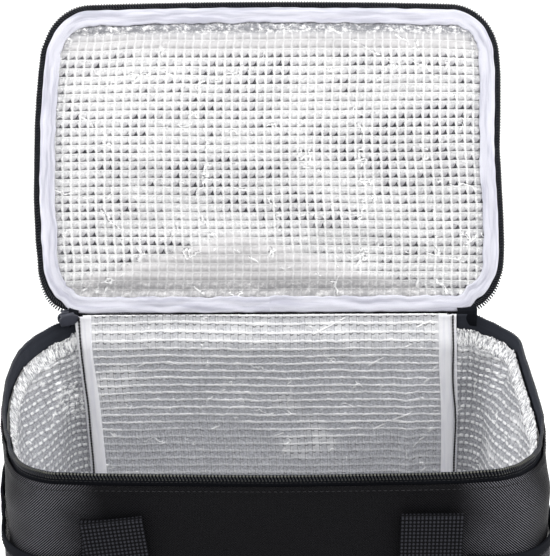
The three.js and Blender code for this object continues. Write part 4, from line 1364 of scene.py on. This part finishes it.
def handles():
    for side, facing in SIDES:
        front = facing < 0
        aside = WEB_ASIDE if front else 0.0

        def place(u, v):
            x, z, along, tilt = handle_path(v)
            slope, shift = front_lean(v) if front and v < LOOP / 2 else (0.0, 0.0)
            along = (along + Vector((slope, 0, 0))).normalized()
            out = Vector((0, facing, 0))
            wide = along.cross(out).normalized() * -facing
            wide = wide * math.cos(tilt) + out * math.sin(tilt) * (1 if wide.z < 0 else -1)
            lift = abs(math.sin(tilt)) * WEB * 0.5
            bow = 1.5 * MM * math.sin(math.pi * clamp((min(v, LOOP - v) - 40 * MM) / (LEG - 40 * MM))) ** 2
            drop = WEB_DROP * ease(1 - v / (120 * MM)) if front else 0.0
            middle = Vector((x + aside + shift, facing * (HALF_DEPTH + 2.45 * MM), z - drop))
            return middle + wide * (u - WEB / 2) + out * (lift + bow - WEB_THICK / 2)

        bm = sheet(WEB, LOOP, 10, 170, place)
        body = f"{side}_handle"
        piece(f"{side}_webbing_loop", bm, WEBBING, [body], 1.3 * MM, 1.0, 0.35 * MM, body)
        for hand, way in (("left", -1), ("right", 1)):
            askew = front and way < 0

            def fold(u, v):
                turn = math.pi * v / FOLD_LONG
                y = HALF_DEPTH + 1.6 * MM - FOLD_ROUND * math.cos(turn)
                x = -facing * (WEB / 2 - u)
                z = FOLD.z + FOLD_ROUND * math.sin(turn) - 0.2 * MM
                z += WEB_LEAN * x - WEB_DROP if askew else 0.0
                return Vector((way * HANDLE_X + aside + x, facing * y, z))

            bm = sheet(WEB, FOLD_LONG, 10, 8, fold)
            piece(f"{side}_fold_{hand}", bm, WEBBING, (), 1.2 * MM, 0.0, 0.2 * MM, body)


# Side pockets --------------------------------------------------------------------
POCKET_EDGE = 97.3 * MM
POCKET_LENGTH = FRONT_MIDDLE - 2 * POCKET_EDGE


def pockets():
    for hand in ("left", "right"):
        low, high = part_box(f"mesh_pocket_{hand}")
        foot, tall = low.z, high.z - low.z
        low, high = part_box(f"pocket_binding_{hand}")
        bind_foot, bind_tall = low.z, high.z - low.z
        start = POCKET_EDGE if hand == "left" else FRONT_MIDDLE + POCKET_EDGE

        def stand_off(u):
            """Sewn down at both upright edges, and slack only just behind the front corner."""
            from_back = u if hand == "left" else POCKET_LENGTH - u
            sewn = ease(min(u, POCKET_LENGTH - u) / (10 * MM))
            slack = ease((from_back - 105 * MM) / (45 * MM)) * ease((225 * MM - from_back) / (45 * MM))
            return mix(0.3 * MM, 0.9 * MM, sewn) + 1.6 * MM * slack

        def place(u, v):
            belly = math.sin(clamp(v / tall / 0.35) * math.pi / 2)
            slack = 0.8 * MM * math.sin(math.pi * v / tall) * ease(min(u, POCKET_LENGTH - u) / (30 * MM))
            wave = 0.4 * MM * ripple(u, v, 6.0, 0.03) * belly
            on, out = on_wall(start + u, 0, foot + v)
            return on + out * (mix(0.35 * MM, stand_off(u), belly) + slack + max(-0.2 * MM, wave))

        bm = sheet(POCKET_LENGTH, tall, 120, 50, place)
        made = piece(f"pocket_mesh_{hand}", bm, POCKET_KNIT, [f"mesh_pocket_{hand}"], 0.5 * MM, 1.0)
        POCKET_LENGTH * 1.02

        def bind(u, v):
            on, out = on_wall(start + u, 0, bind_foot + v + 0.4 * MM * ripple(u, 0, 3.0, 0.03))
            return on + out * (stand_off(u) - 0.3 * MM + 0.4 * MM * math.sin(math.pi * (v / bind_tall)))

        bm = sheet(POCKET_LENGTH, bind_tall, 120, 6, bind)
        nodes = [f"pocket_binding_{hand}"]
        piece(f"pocket_top_{hand}", bm, TAPE_CLOTH, nodes, 1.6 * MM, 1.0, 0.3 * MM)

        def path(at):
            on, out = on_wall(start + at, 0, bind_foot + 1.3 * MM)
            return on + out * (stand_off(at) + 1.6 * MM), out

        stitches(f"pocket_stitches_{hand}", path, POCKET_LENGTH, STITCH)


for make in (
    place_camera, light_studio, lay_floor, outer_cloth, base_cloth, foam_layers, foil_walls, back_foil,
    floor_foil, lid_foil, lid_binding, lid_cover, lid_tape, zip_coils, body_tape, hinge_cloth,
    tape_ends, slider, seam_bindings, floor_binding, straps, handles, pockets,
):
    make()

# Of the frame's own nodes only the zip's pull is left showing
pull = frame["nodes"]["zip_pull"]
pull.data.materials.clear()
pull.data.materials.append(SLIDER)

bpy.context.scene.view_settings.view_transform = "Standard"
